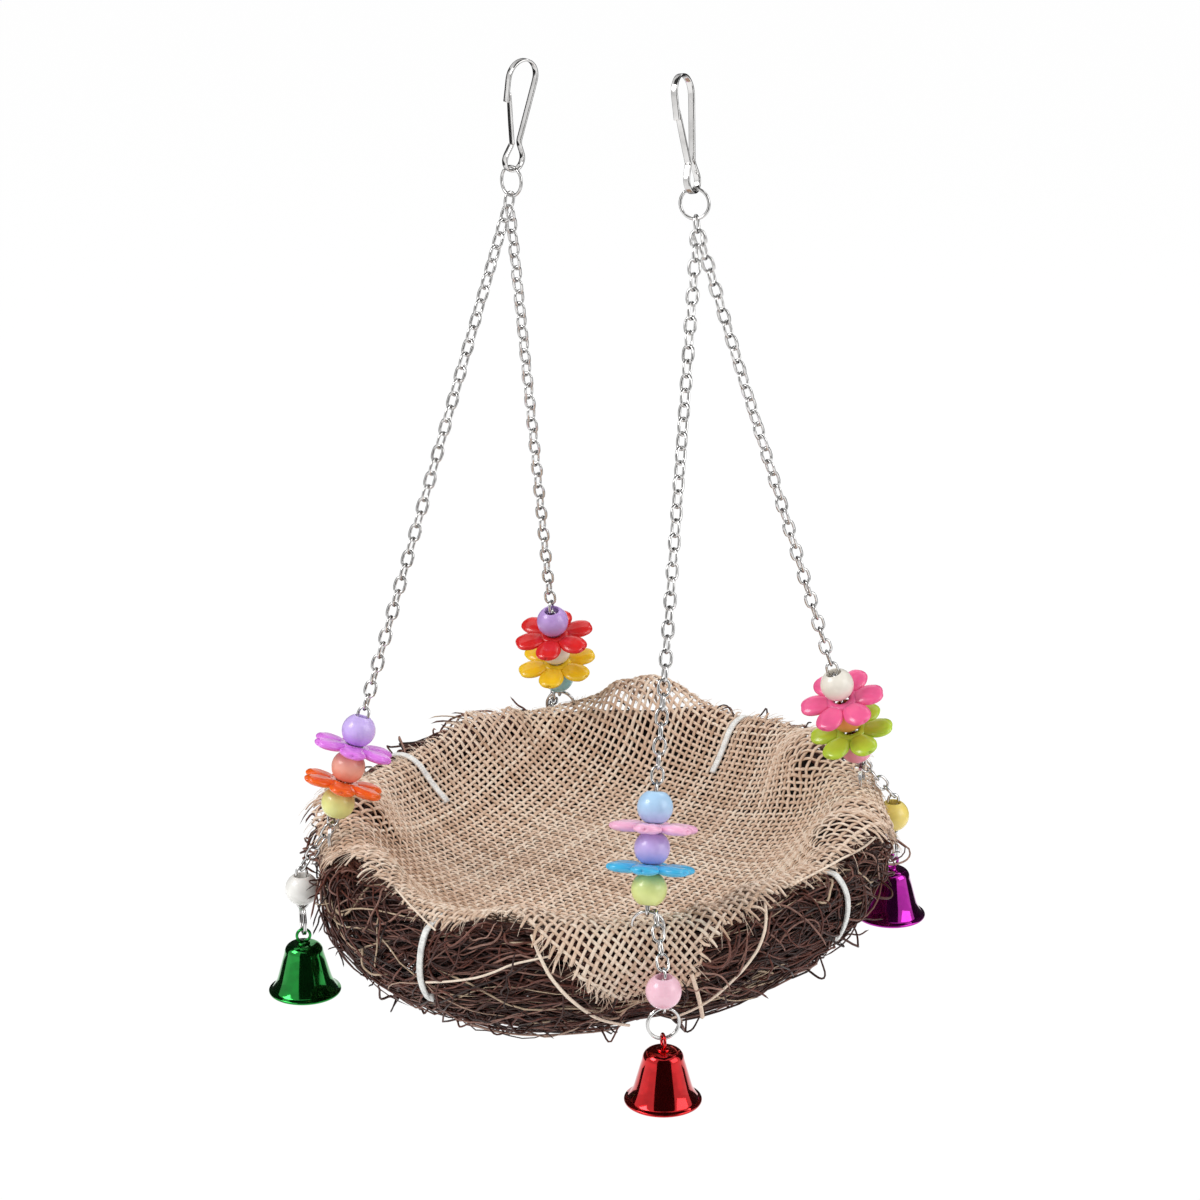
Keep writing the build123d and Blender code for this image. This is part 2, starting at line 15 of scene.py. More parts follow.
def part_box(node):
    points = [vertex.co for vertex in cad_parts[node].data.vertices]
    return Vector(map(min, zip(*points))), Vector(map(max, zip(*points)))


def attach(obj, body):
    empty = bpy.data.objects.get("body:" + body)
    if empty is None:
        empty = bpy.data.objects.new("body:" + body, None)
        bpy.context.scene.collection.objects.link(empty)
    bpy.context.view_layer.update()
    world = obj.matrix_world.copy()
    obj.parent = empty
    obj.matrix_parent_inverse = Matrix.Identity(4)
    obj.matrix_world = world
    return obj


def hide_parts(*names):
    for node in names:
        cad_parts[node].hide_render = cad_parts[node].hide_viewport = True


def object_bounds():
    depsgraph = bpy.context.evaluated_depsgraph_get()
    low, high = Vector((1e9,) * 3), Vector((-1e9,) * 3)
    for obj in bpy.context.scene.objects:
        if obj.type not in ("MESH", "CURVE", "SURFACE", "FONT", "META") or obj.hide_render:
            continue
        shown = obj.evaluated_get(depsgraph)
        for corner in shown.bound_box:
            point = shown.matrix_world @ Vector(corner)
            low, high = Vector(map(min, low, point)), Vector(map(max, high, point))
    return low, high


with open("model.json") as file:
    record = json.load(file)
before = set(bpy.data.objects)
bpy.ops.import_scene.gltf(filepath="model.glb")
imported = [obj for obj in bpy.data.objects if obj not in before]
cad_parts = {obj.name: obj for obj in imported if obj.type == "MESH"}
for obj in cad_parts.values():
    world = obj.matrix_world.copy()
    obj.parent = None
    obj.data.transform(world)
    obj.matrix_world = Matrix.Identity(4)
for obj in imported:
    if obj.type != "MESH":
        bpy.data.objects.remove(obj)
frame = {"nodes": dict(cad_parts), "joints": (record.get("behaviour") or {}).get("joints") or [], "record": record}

Points = NDArray[np.float64]
Faces = NDArray[np.int64]
Pair = tuple[float, float]
Colour = tuple[float, float, float]
Triple = tuple[float, float, float]
Levels = tuple[int, int, int]
Socket = bpy.types.NodeSocket
Material = bpy.types.Material
Piece = bpy.types.Object

LOG = logging.getLogger("nest_swing")
MM = 0.001
WELD_GAP = 1e-7
TURN = 2.0 * np.pi
UP = np.array([0.0, 0.0, 1.0])
BACKWARDS = np.array([0.0, 1.0, 0.0])
WHITE = (1.0, 1.0, 1.0)
TIE_DEGREES = (0.0, 90.0, 180.0, 270.0)
CAD_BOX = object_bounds()
JOINTS = {joint["name"]: joint for joint in frame["joints"]}
BODY_OF = {
    node: body for body, nodes in frame["record"]["behaviour"]["bodies"].items() for node in nodes
}


class Named(Enum):
    """An option whose name goes into other names."""

    @property
    def word(self) -> str:
        """The option's name in small letters."""
        return self.name.lower()


class Corner(Named):
    """The four chain points of the nest, by their angle round it in degrees."""

    FRONT = -45.0
    RIGHT = 45.0
    BACK = 135.0
    LEFT = 225.0


class Side(Named):
    """The two hooks, by the side of the middle that each hangs on."""

    LEFT = -1
    RIGHT = 1


def unit(vectors: Points) -> Points:
    """Each vector divided by its own length."""
    return vectors / np.linalg.norm(vectors, axis=-1, keepdims=True)


def ease(values: Points, low: float, high: float) -> Points:
    """0 up to low, 1 from high on, and the cubic 3t^2 - 2t^3 in between."""
    share = np.clip((values - low) / (high - low), 0.0, 1.0)
    return share * share * (3.0 - 2.0 * share)


def bell(values: Points, width: float) -> Points:
    """A bell curve: e to the minus square of the values over a width."""
    return np.exp(-((values / width) ** 2))


def squared_off(values: Points, power: float) -> Points:
    """Each value's sign times a power of its size, which under 1 squares a circle's waves off."""
    return np.sign(values) * np.abs(values) ** power


def gap_to(angle: Points, degrees: float) -> Points:
    """The turn from a direction in degrees to each angle, the short way round."""
    return np.angle(np.exp(1j * (angle - np.radians(degrees))))


def gap_to_nearest(angle: Points, degrees: float) -> Points:
    """The turn to each angle from the nearest of four directions at right angles, one of them given."""
    return np.angle(np.exp(4.0j * (angle - np.radians(degrees)))) / 4.0


def run_along(path: Points) -> Points:
    """The running length at each point of a path."""
    return np.concatenate([[0.0], np.cumsum(np.linalg.norm(np.diff(path, axis=0), axis=1))])


def round_z(radius: Points | float, angle: Points, height: Points | float) -> Points:
    """Points round Z: the radius times cosine and sine of the angle, at a height."""
    columns = np.broadcast_arrays(radius * np.cos(angle), radius * np.sin(angle), height)
    return np.stack(columns, axis=-1)


def turned(axis: int, degrees: float) -> Points:
    """The matrix that turns column vectors about one axis of the frame.

    Args:
        axis: 0, 1 or 2 for X, Y or Z.
        degrees: How far to turn, counterclockwise seen from the axis's tip.

    Returns:
        A three by three rotation matrix.
    """
    first, second = (axis + 1) % 3, (axis + 2) % 3
    matrix = np.eye(3)
    matrix[first, first] = matrix[second, second] = np.cos(np.radians(degrees))
    matrix[second, first] = np.sin(np.radians(degrees))
    matrix[first, second] = -matrix[second, first]
    return matrix


@dataclass(frozen=True)
class Place:
    """Where a piece stands: a point, and the piece's own axes as the rows of a matrix."""

    origin: Points
    axes: Points

    @classmethod
    def along(cls, origin: Points, axis: Points, near: Points) -> "Place":
        """A place with Z along an axis and X as near as it gets to another way.

        Args:
            origin: The point.
            axis: The way of Z.
            near: The way that X keeps near.

        Returns:
            The place.
        """
        upright = unit(axis)
        first = unit(near - upright * (near @ upright))
        return cls(origin, np.stack([first, np.cross(upright, first), upright]))

    def carry(self, points: Points) -> Points:
        """The origin plus each coordinate times its own axis."""
        return self.origin + points @ self.axes


@dataclass
class Surface:
    """Points and four-cornered faces, with named values kept on the points."""

    points: Points
    faces: Faces
    values: dict[str, Points] = field(default_factory=dict)

    @classmethod
    def grid(
        cls, points: Points, wrap_rows: bool = False, wrap_columns: bool = True, **values: Points
    ) -> "Surface":
        """Faces between the neighbours of one grid of points, or of a stack of equal grids.

        A face looks the way of the columns crossed with the way of the rows.

        Args:
            points: Grids of points, rows and columns last but one.
            wrap_rows: Whether the last row joins the first.
            wrap_columns: Whether the last column joins the first.
            **values: Values for each point, in a shape that spreads over the grids.

        Returns:
            The surface of all the grids.
        """
        rows, columns = points.shape[-3:-1]
        row, column = np.meshgrid(
            np.arange(rows if wrap_rows else rows - 1),
            np.arange(columns if wrap_columns else columns - 1),
            indexing="ij",
        )
        next_row = (row + 1) % rows
        next_column = (column + 1) % columns
        corners = [
            row * columns + column,
            row * columns + next_column,
            next_row * columns + next_column,
            next_row * columns + column,
        ]
        one = np.stack(corners, axis=-1).reshape(-1, 4)
        grids = int(np.prod(points.shape[:-3], dtype=int))
        starts = np.arange(grids)[:, None, None] * (rows * columns)
        shape = points.shape[:-1]
        spread = {key: np.broadcast_to(value, shape).ravel() for key, value in values.items()}
        return cls(points.reshape(-1, 3), (one + starts).reshape(-1, 4), spread)

    @classmethod
    def joined(cls, *parts: "Surface") -> "Surface":
        """Several surfaces as one, each part's faces counted on from the points before it.

        Args:
            *parts: The surfaces.

        Returns:
            One surface.
        """
        counts = [len(part.points) for part in parts]
        starts = np.cumsum([0] + counts[:-1])
        keys = {key for part in parts for key in part.values}
        values = {
            key: np.concatenate([part.values.get(key, np.zeros(len(part.points))) for part in parts])
            for key in keys
        }
        return cls(
            np.concatenate([part.points for part in parts]),
            np.concatenate([part.faces + start for part, start in zip(parts, starts)]),
            values,
        )

    def at(self, place: Place) -> "Surface":
        """The same surface carried to a place."""
        return Surface(place.carry(self.points), self.faces, self.values)

    def repeated(self, origins: Points, axes: Points) -> "Surface":
        """Copies of the surface, one for each origin and its own axes.

        Args:
            origins: One point for each copy.
            axes: One matrix for each copy, whose rows are the copy's own axes.

        Returns:
            All the copies as one surface.
        """
        count = len(self.points)
        points = origins[:, None, :] + np.einsum("vk,nkc->nvc", self.points, axes)
        faces = self.faces[None] + np.arange(len(origins))[:, None, None] * count
        return Surface(points.reshape(-1, 3), faces.reshape(-1, 4))

    def show(self, name: str, weld: bool = False) -> Piece:
        """Put the surface into a smooth-shaded mesh object at the origin.

        Args:
            name: The object's name.
            weld: Whether points that fall together are merged, to close poles and caps.

        Returns:
            The new object.
        """
        mesh = bpy.data.meshes.new(name)
        mesh.vertices.add(len(self.points))
        mesh.vertices.foreach_set("co", self.points.astype(np.float32).ravel())
        mesh.loops.add(self.faces.size)
        mesh.loops.foreach_set("vertex_index", self.faces.astype(np.int32).ravel())
        mesh.polygons.add(len(self.faces))
        mesh.polygons.foreach_set("loop_start", np.arange(0, self.faces.size, 4, dtype=np.int32))
        mesh.update(calc_edges=True)
        for key, value in self.values.items():
            layer = mesh.attributes.new(key, "FLOAT", "POINT")
            layer.data.foreach_set("value", value.astype(np.float32))
        if weld:
            work = bmesh.new()
            work.from_mesh(mesh)
            bmesh.ops.remove_doubles(work, verts=work.verts, dist=WELD_GAP)
            work.to_mesh(mesh)
            work.free()
        mesh.shade_smooth()
        piece = bpy.data.objects.new(name, mesh)
        bpy.context.scene.collection.objects.link(piece)
        return piece


def lathe(profile: Points, sides: int, closed: bool = False) -> Surface:
    """A profile turned about Z.

    Args:
        profile: Radius and height of each point, going up where the surface faces outwards.
        sides: How many steps round the axis.
        closed: Whether the last point of the profile joins the first.

    Returns:
        The turned surface.
    """
    angle = TURN * np.arange(sides) / sides
    return Surface.grid(round_z(profile[:, :1], angle, profile[:, 1:]), wrap_rows=closed)


def strands(
    paths: Points,
    facing: Points,
    half_wide: Points | float,
    half_thick: Points | float,
    sides: int,
    closed: bool = False,
    power: float = 1.0,
    **values: Points,
) -> Surface:
    """Tubes along many paths at once.

    Each ring is the path's point, plus the way across times half the width times the cosine of the
    ring's angle, plus the facing way times half the thickness times its sine. A power under 1 on both
    squares the oval towards a bar with round corners.

    Args:
        paths: Points along each path, paths first.
        facing: The way the flat side faces, in a shape that spreads over the paths.
        half_wide: Half the width along each path.
        half_thick: Half the thickness along each path.
        sides: How many points a ring has.
        closed: Whether each path's end joins its start.
        power: The power on the cosine and the sine.
        **values: Values for each point of each path.

    Returns:
        All the tubes as one surface.
    """
    if closed:
        ahead = np.roll(paths, -1, axis=1) - np.roll(paths, 1, axis=1)
    else:
        ahead = np.gradient(paths, axis=1)
    along = unit(ahead)
    facing = np.broadcast_to(facing, paths.shape)
    face = unit(facing - along * np.sum(facing * along, axis=-1, keepdims=True))
    across = np.cross(along, face)
    ring = -TURN * (np.arange(sides) + 0.5) / sides
    wave = squared_off(np.stack([np.cos(ring), np.sin(ring)]), power)
    wide = np.broadcast_to(half_wide, paths.shape[:-1])[..., None, None] * wave[0][:, None]
    thick = np.broadcast_to(half_thick, paths.shape[:-1])[..., None, None] * wave[1][:, None]
    points = paths[..., None, :] + across[..., None, :] * wide + face[..., None, :] * thick
    spread = {key: np.broadcast_to(value, paths.shape[:-1])[..., None] for key, value in values.items()}
    return Surface.grid(points, wrap_rows=closed, **spread)


def capped(path: Points, step: float = 0.02 * MM) -> Points:
    """One path with an extra point just past each end, where its size can drop to nothing.

    Args:
        path: Points along the path.
        step: How far past its ends the new points lie.

    Returns:
        The longer path.
    """
    first = path[0] - unit(path[1] - path[0]) * step
    last = path[-1] + unit(path[-1] - path[-2]) * step
    return np.concatenate([first[None], path, last[None]])


def cap_sizes(count: int, size: float) -> Points:
    """One size along a capped path, nothing at its first and last point."""
    return np.pad(np.full(count - 2, size), 1)


def arc(centre: Pair | Points, radius: float, start: float, end: float, count: int) -> Points:
    """Points round a flat arc: the centre plus the radius times cosine and sine, in degrees."""
    angle = np.radians(np.linspace(start, end, count))
    return np.array(centre) + radius * np.stack([np.cos(angle), np.sin(angle)], axis=-1)


def even_steps(path: Points, count: int, closed: bool = False) -> Points:
    """A path cut into steps of one length, by its own running length.

    Args:
        path: Points along the path.
        count: How many points to return.
        closed: Whether the path runs back to its start, which isn't repeated.

    Returns:
        The evenly spaced points.
    """
    if closed:
        path = np.concatenate([path, path[:1]])
    run = run_along(path)
    wanted = np.linspace(0.0, run[-1], count, endpoint=not closed)
    return np.stack([np.interp(wanted, run, column) for column in path.T], axis=-1)


def node_points(node: str) -> tuple[Points, Faces]:
    """The points of a CAD node, those that fall together counted once, and its triangles.

    Args:
        node: The CAD node's name.

    Returns:
        The points, and three point numbers for each triangle.
    """
    mesh = frame["nodes"][node].data
    flat = np.empty(len(mesh.vertices) * 3, np.float32)
    mesh.vertices.foreach_get("co", flat)
    corner = np.empty(len(mesh.loops), np.int32)
    mesh.loops.foreach_get("vertex_index", corner)
    points = flat.reshape(-1, 3).astype(float)
    _, first, same = np.unique(np.round(points, 7), axis=0, return_index=True, return_inverse=True)
    return points[first], same.ravel()[corner].reshape(-1, 3)


def loose_pieces(node: str) -> tuple[Points, Points]:
    """The middle and the own axes of each loose solid in a CAD node.

    Every point takes the lowest label that its triangles hold until none changes, so each solid ends
    with one label. Its axes are the ways of its spread, from the least to the most.

    Args:
        node: The CAD node's name.

    Returns:
        The middles, and the axes as the rows of one matrix for each solid.
    """
    points, triangles = node_points(node)
    label = np.arange(len(points))
    while True:
        lowest = label[triangles].min(axis=1)
        updated = label.copy()
        np.minimum.at(updated, triangles.ravel(), np.repeat(lowest, 3))
        updated = updated[updated]
        if np.array_equal(updated, label):
            break
        label = updated
    middles, axes = [], []
    for mark in np.unique(label):
        cloud = points[label == mark]
        middle = (cloud.min(axis=0) + cloud.max(axis=0)) / 2.0
        spread = np.linalg.eigh(np.cov((cloud - middle).T))[1].T
        spread[2] = np.cross(spread[0], spread[1])
        middles.append(middle)
        axes.append(spread)
    return np.array(middles), np.array(axes)


def node_middle(node: str) -> Points:
    """The middle of a CAD node's box."""
    low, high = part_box(node)
    return (np.array(low) + np.array(high)) / 2.0


def from_screen(*levels: int) -> Colour:
    """Red, green and blue as a screen shows them, 0 to 255, made linear by the standard screen curve."""
    share = np.array(levels) / 255.0
    return tuple(np.where(share <= 0.04045, share / 12.92, ((share + 0.055) / 1.055) ** 2.4).tolist())


class NodeBench:
    """A tree of nodes, laid and joined by name."""

    def __init__(self, tree: bpy.types.NodeTree) -> None:
        """Take over a tree."""
        self.tree = tree

    def fill(self, node: bpy.types.Node, sockets: dict[str | int, object]) -> None:
        """Fill a node's sockets, each with a constant or from another socket.

        Args:
            node: The node.
            sockets: What goes into each, by its name or number.
        """
        for key, value in sockets.items():
            if isinstance(value, Socket):
                self.tree.links.new(value, node.inputs[key])
            else:
                node.inputs[key].default_value = value

    def put(self, kind: str, sockets: dict[str | int, object], **settings: object) -> bpy.types.Node:
        """Lay a node, set its own properties and fill its sockets.

        Args:
            kind: Its type.
            sockets: What goes into each socket, by its name or number.
            **settings: The properties.

        Returns:
            The node.
        """
        node = self.tree.nodes.new(kind)
        for key, value in settings.items():
            setattr(node, key, value)
        self.fill(node, sockets)
        return node

    def math(self, operation: str, *values: Socket | float) -> Socket:
        """What an operation makes of its values, each a constant or a socket."""
        return self.put("ShaderNodeMath", dict(enumerate(values)), operation=operation).outputs[0]


class MaterialBench(NodeBench):
    """The nodes of one material."""

    def __init__(self, name: str) -> None:
        """Start a material with its shader and output.

        Args:
            name: The material's name.
        """
        self.material = bpy.data.materials.new(name)
        self.material.use_nodes = True
        super().__init__(self.material.node_tree)
        self.shader = self.tree.nodes["Principled BSDF"]

    def set(self, **sockets: object) -> None:
        """Fill the shader's own sockets, by their names with underscores for spaces."""
        self.fill(self.shader, {key.replace("_", " "): value for key, value in sockets.items()})

    def kept(self, key: str) -> Socket:
        """A value kept on the mesh's points."""
        return self.put("ShaderNodeAttribute", {}, attribute_name=key).outputs["Fac"]

    def noise(self, scale: float, detail: float = 3.0, stretch: Triple = (1.0, 1.0, 1.0)) -> Socket:
        """Noise on the piece's own coordinates.

        Args:
            scale: Waves to a metre.
            detail: How many finer waves are added.
            stretch: Further scale along each axis.

        Returns:
            The noise's value socket, 0 to 1.
        """
        spots = self.put("ShaderNodeTexCoord", {}).outputs["Object"]
        mapping = self.put("ShaderNodeMapping", {"Vector": spots, "Scale": stretch})
        waves = {"Vector": mapping.outputs["Vector"], "Scale": scale, "Detail": detail}
        return self.put("ShaderNodeTexNoise", waves).outputs["Fac"]

    def ramp(self, source: Socket, stops: list[tuple[float, Colour]]) -> Socket:
        """A colour ramp over a value.

        Args:
            source: The value.
            stops: Positions and their colours, in order.

        Returns:
            The colour's socket.
        """
        node = self.put("ShaderNodeValToRGB", {"Fac": source})
        ramp = node.color_ramp
        ramp.elements[0].position, ramp.elements[1].position = stops[0][0], stops[-1][0]
        ramp.elements[0].color = (*stops[0][1], 1.0)
        ramp.elements[1].color = (*stops[-1][1], 1.0)
        for position, colour in stops[1:-1]:
            ramp.elements.new(position).color = (*colour, 1.0)
        return node.outputs["Color"]

    def spread(self, source: Socket, low: float, high: float) -> Socket:
        """A value from 0 to 1 moved to the range from low to high."""
        sockets = {"Value": source, "To Min": low, "To Max": high}
        return self.put("ShaderNodeMapRange", sockets).outputs["Result"]

    def shaded(self, share: float, tone: Socket, shade: Socket) -> Socket:
        """A tone multiplied by a share of a shade. The mix node's colours are its sockets 6, 7 and 2."""
        sockets = {"Factor": share, 6: tone, 7: shade}
        return self.put("ShaderNodeMix", sockets, data_type="RGBA", blend_type="MULTIPLY").outputs[2]

    def bump(self, height: Socket, depth: float, strength: float = 1.0) -> None:
        """Raise the surface by a share of a height value times a depth in metres."""
        sockets = {"Height": height, "Distance": depth, "Strength": strength}
        self.set(Normal=self.put("ShaderNodeBump", sockets).outputs["Normal"])


@dataclass(frozen=True)
class BrightNickel:
    """Nickel plate, bright with faint clouding and handling marks."""

    pale: Colour = (0.82, 0.81, 0.80)
    dull: Colour = (0.60, 0.59, 0.58)
    edge: Colour = (0.12, 0.12, 0.13)
    clouding: float = 150.0
    rough: Pair = (0.16, 0.07)

    def material(self) -> Material:
        """Metal whose tone and roughness follow a slow noise, darker where it is seen edge on.

        Returns:
            The material.
        """
        bench = MaterialBench("bright_nickel")
        cloud = bench.noise(self.clouding)
        bench.set(Base_Color=bench.ramp(cloud, [(0.25, self.dull), (0.6, self.pale)]))
        bench.set(Roughness=bench.spread(cloud, *self.rough))
        bench.set(Metallic=1.0, Specular_Tint=(*self.edge, 1.0))
        return bench.material


@dataclass(frozen=True)
class MouldedPlastic:
    """Glossy moulded plastic with a little depth to its colour."""

    colour: Colour
    depth: float
    rough: Pair
    clouding: float = 160.0
    deepened: float = 0.86
    handling: float = 900.0
    flow_marks: float = 330.0
    flow_depth: float = 0.06 * MM

    def material(self, name: str) -> Material:
        """Slightly cloudy colour, faint flow marks and a clear gloss.

        Args:
            name: The material's name.

        Returns:
            The material.
        """
        bench = MaterialBench(name)
        cloud = bench.noise(self.clouding, 2.0)
        deep = tuple(value * self.deepened for value in self.colour)
        bench.set(Base_Color=bench.ramp(cloud, [(0.3, deep), (0.65, self.colour)]))
        bench.set(Roughness=bench.spread(bench.noise(self.handling, 2.0), *self.rough))
        bench.set(
            Subsurface_Weight=self.depth,
            Subsurface_Radius=WHITE,
            Subsurface_Scale=1.6 * MM,
            IOR=1.49,
            Coat_Weight=0.25,
            Coat_Roughness=0.08,
        )
        bench.bump(bench.noise(self.flow_marks, 1.0), self.flow_depth, 0.5)
        return bench.material


@dataclass(frozen=True)
class TintedMetal:
    """Thin metal under a clear coloured lacquer, as on craft bells."""

    colour: Colour
    clouding: float = 240.0
    deepened: float = 0.72
    rough: Pair = (0.13, 0.06)
    dents: float = 140.0
    dent_depth: float = 0.10 * MM

    def material(self, name: str) -> Material:
        """Coloured mirror metal, dulled a little where it is handled and faintly dented.

        Args:
            name: The material's name.

        Returns:
            The material.
        """
        bench = MaterialBench(name)
        cloud = bench.noise(self.clouding)
        deep = tuple(value * self.deepened for value in self.colour)
        bench.set(Base_Color=bench.ramp(cloud, [(0.3, deep), (0.6, self.colour)]))
        bench.set(Roughness=bench.spread(cloud, *self.rough))
        bench.set(Metallic=1.0, Coat_Weight=0.5, Coat_Roughness=0.05)
        bench.bump(bench.noise(self.dents, 1.0), self.dent_depth, 0.35)
        return bench.material


@dataclass(frozen=True)
class VineBark:
    """Dark bark of thin vine twigs, each twig with its own tone."""

    dark: Colour = from_screen(40, 18, 14)
    red: Colour = from_screen(116, 62, 48)
    worn: Colour = from_screen(190, 150, 134)
    pale: Colour = from_screen(214, 188, 158)
    gap: Colour = (0.45, 0.43, 0.43)
    streaks: float = 520.0
    streak_depth: float = 0.35 * MM
    rough: Pair = (0.58, 0.30)

    def material(self) -> Material:
        """Tone by the twig's own tint, streaked and knotted by noise.

        Returns:
            The material.
        """
        bench = MaterialBench("vine_bark")
        stops = [(0.0, self.dark), (0.45, self.red), (0.88, self.worn), (0.97, self.pale)]
        tone = bench.ramp(bench.kept("tint"), stops)
        streak = bench.noise(self.streaks, 4.0)
        shade = bench.ramp(streak, [(0.3, self.gap), (0.7, WHITE)])
        bench.set(Base_Color=bench.shaded(0.85, tone, shade))
        bench.set(Roughness=bench.spread(streak, *self.rough))
        bench.bump(streak, self.streak_depth, 0.8)
        return bench.material


@dataclass(frozen=True)
class NestHeart:
    """Painted shade deep in the bowl's wall: near-black matted twigs that show as the dark gaps between the twigs
    over them.
    """

    # Near-black tones: painted shade for the gaps between the twigs.
    dark: Colour = from_screen(10, 5, 4)
    brown: Colour = from_screen(34, 19, 16)
    streaks: float = 330.0
    gap_depth: float = 1.6 * MM

    def material(self) -> Material:
        """Short dark streaks with deep gaps.

        Returns:
            The material.
        """
        bench = MaterialBench("nest_heart")
        streak = bench.noise(self.streaks, 6.0)
        bench.set(Base_Color=bench.ramp(streak, [(0.38, self.dark), (0.68, self.brown)]))
        bench.set(Roughness=0.85)
        bench.bump(streak, self.gap_depth)
        return bench.material


class Lay(Named):
    """The way a set of threads runs, by how noise is stretched along it."""

    WARP = (1.0, 0.06, 1.0)
    WEFT = (0.06, 1.0, 1.0)
    LOOSE = (0.5, 0.5, 0.5)


@dataclass(frozen=True)
class JuteYarn:
    """Unbleached jute yarn, hairy and uneven."""

    lay: Lay
    shade: Colour = from_screen(208, 174, 146)
    straw: Colour = from_screen(240, 212, 188)
    light: Colour = from_screen(252, 234, 214)
    gap: Colour = (0.66, 0.62, 0.58)
    fibres: float = 2400.0
    fibre_depth: float = 0.25 * MM

    def material(self) -> Material:
        """Tone by the thread's own tint, with fibres drawn out along it.

        Returns:
            The material.
        """
        bench = MaterialBench(f"jute_{self.lay.word}")
        stops = [(0.0, self.shade), (0.5, self.straw), (1.0, self.light)]
        tone = bench.ramp(bench.kept("tint"), stops)
        fibre = bench.noise(self.fibres, stretch=self.lay.value)
        shade = bench.ramp(fibre, [(0.28, self.gap), (0.62, WHITE)])
        bench.set(Base_Color=bench.shaded(0.7, tone, shade))
        bench.set(Roughness=0.92, Sheen_Weight=0.15, Sheen_Roughness=0.6)
        bench.bump(fibre, self.fibre_depth, 0.9)
        return bench.material


@dataclass(frozen=True)
class ClearNylon:
    """Natural nylon of a cable tie, milky and half glossy."""

    milk: Colour = from_screen(240, 240, 236)
    grey: Colour = from_screen(214, 214, 212)
    clouding: float = 500.0
    rib_step: float = 1.1 * MM
    rib_depth: float = 0.08 * MM

    def material(self) -> Material:
        """Milky white with ribs across the strap, by the running length kept on it.

        Returns:
            The material.
        """
        bench = MaterialBench("clear_nylon")
        cloud = bench.noise(self.clouding, 2.0)
        bench.set(Base_Color=bench.ramp(cloud, [(0.3, self.grey), (0.6, self.milk)]))
        bench.set(
            Roughness=0.34,
            Subsurface_Weight=0.3,
            Subsurface_Radius=WHITE,
            Subsurface_Scale=1.2 * MM,
        )
        rib = bench.math("SINE", bench.math("MULTIPLY", bench.kept("run"), TURN / self.rib_step))
        bench.bump(rib, self.rib_depth, 0.6)
        return bench.material


def dress(piece: Piece, material: Material) -> None:
    """Give a piece one material and no other."""
    piece.data.materials.clear()
    piece.data.materials.append(material)


def stand_in(piece: Piece, node: str) -> None:
    """Let a piece ride on the body of the node that it stands for, and hide the node.

    Args:
        piece: The piece.
        node: The CAD node's name.
    """
    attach(piece, BODY_OF[node])
    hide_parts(node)
    LOG.info("%s stands for %s", piece.name, node)


def plate(piece: Piece, nickel: Material, node: str) -> None:
    """Dress a piece in nickel and let it stand for its node."""
    dress(piece, nickel)
    stand_in(piece, node)


def follow(piece: Piece, body: str) -> None:
    """Let a further piece ride on a body.

    Args:
        piece: The piece.
        body: The body.
    """
    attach(piece, body)
    LOG.info("%s rides on %s", piece.name, body)


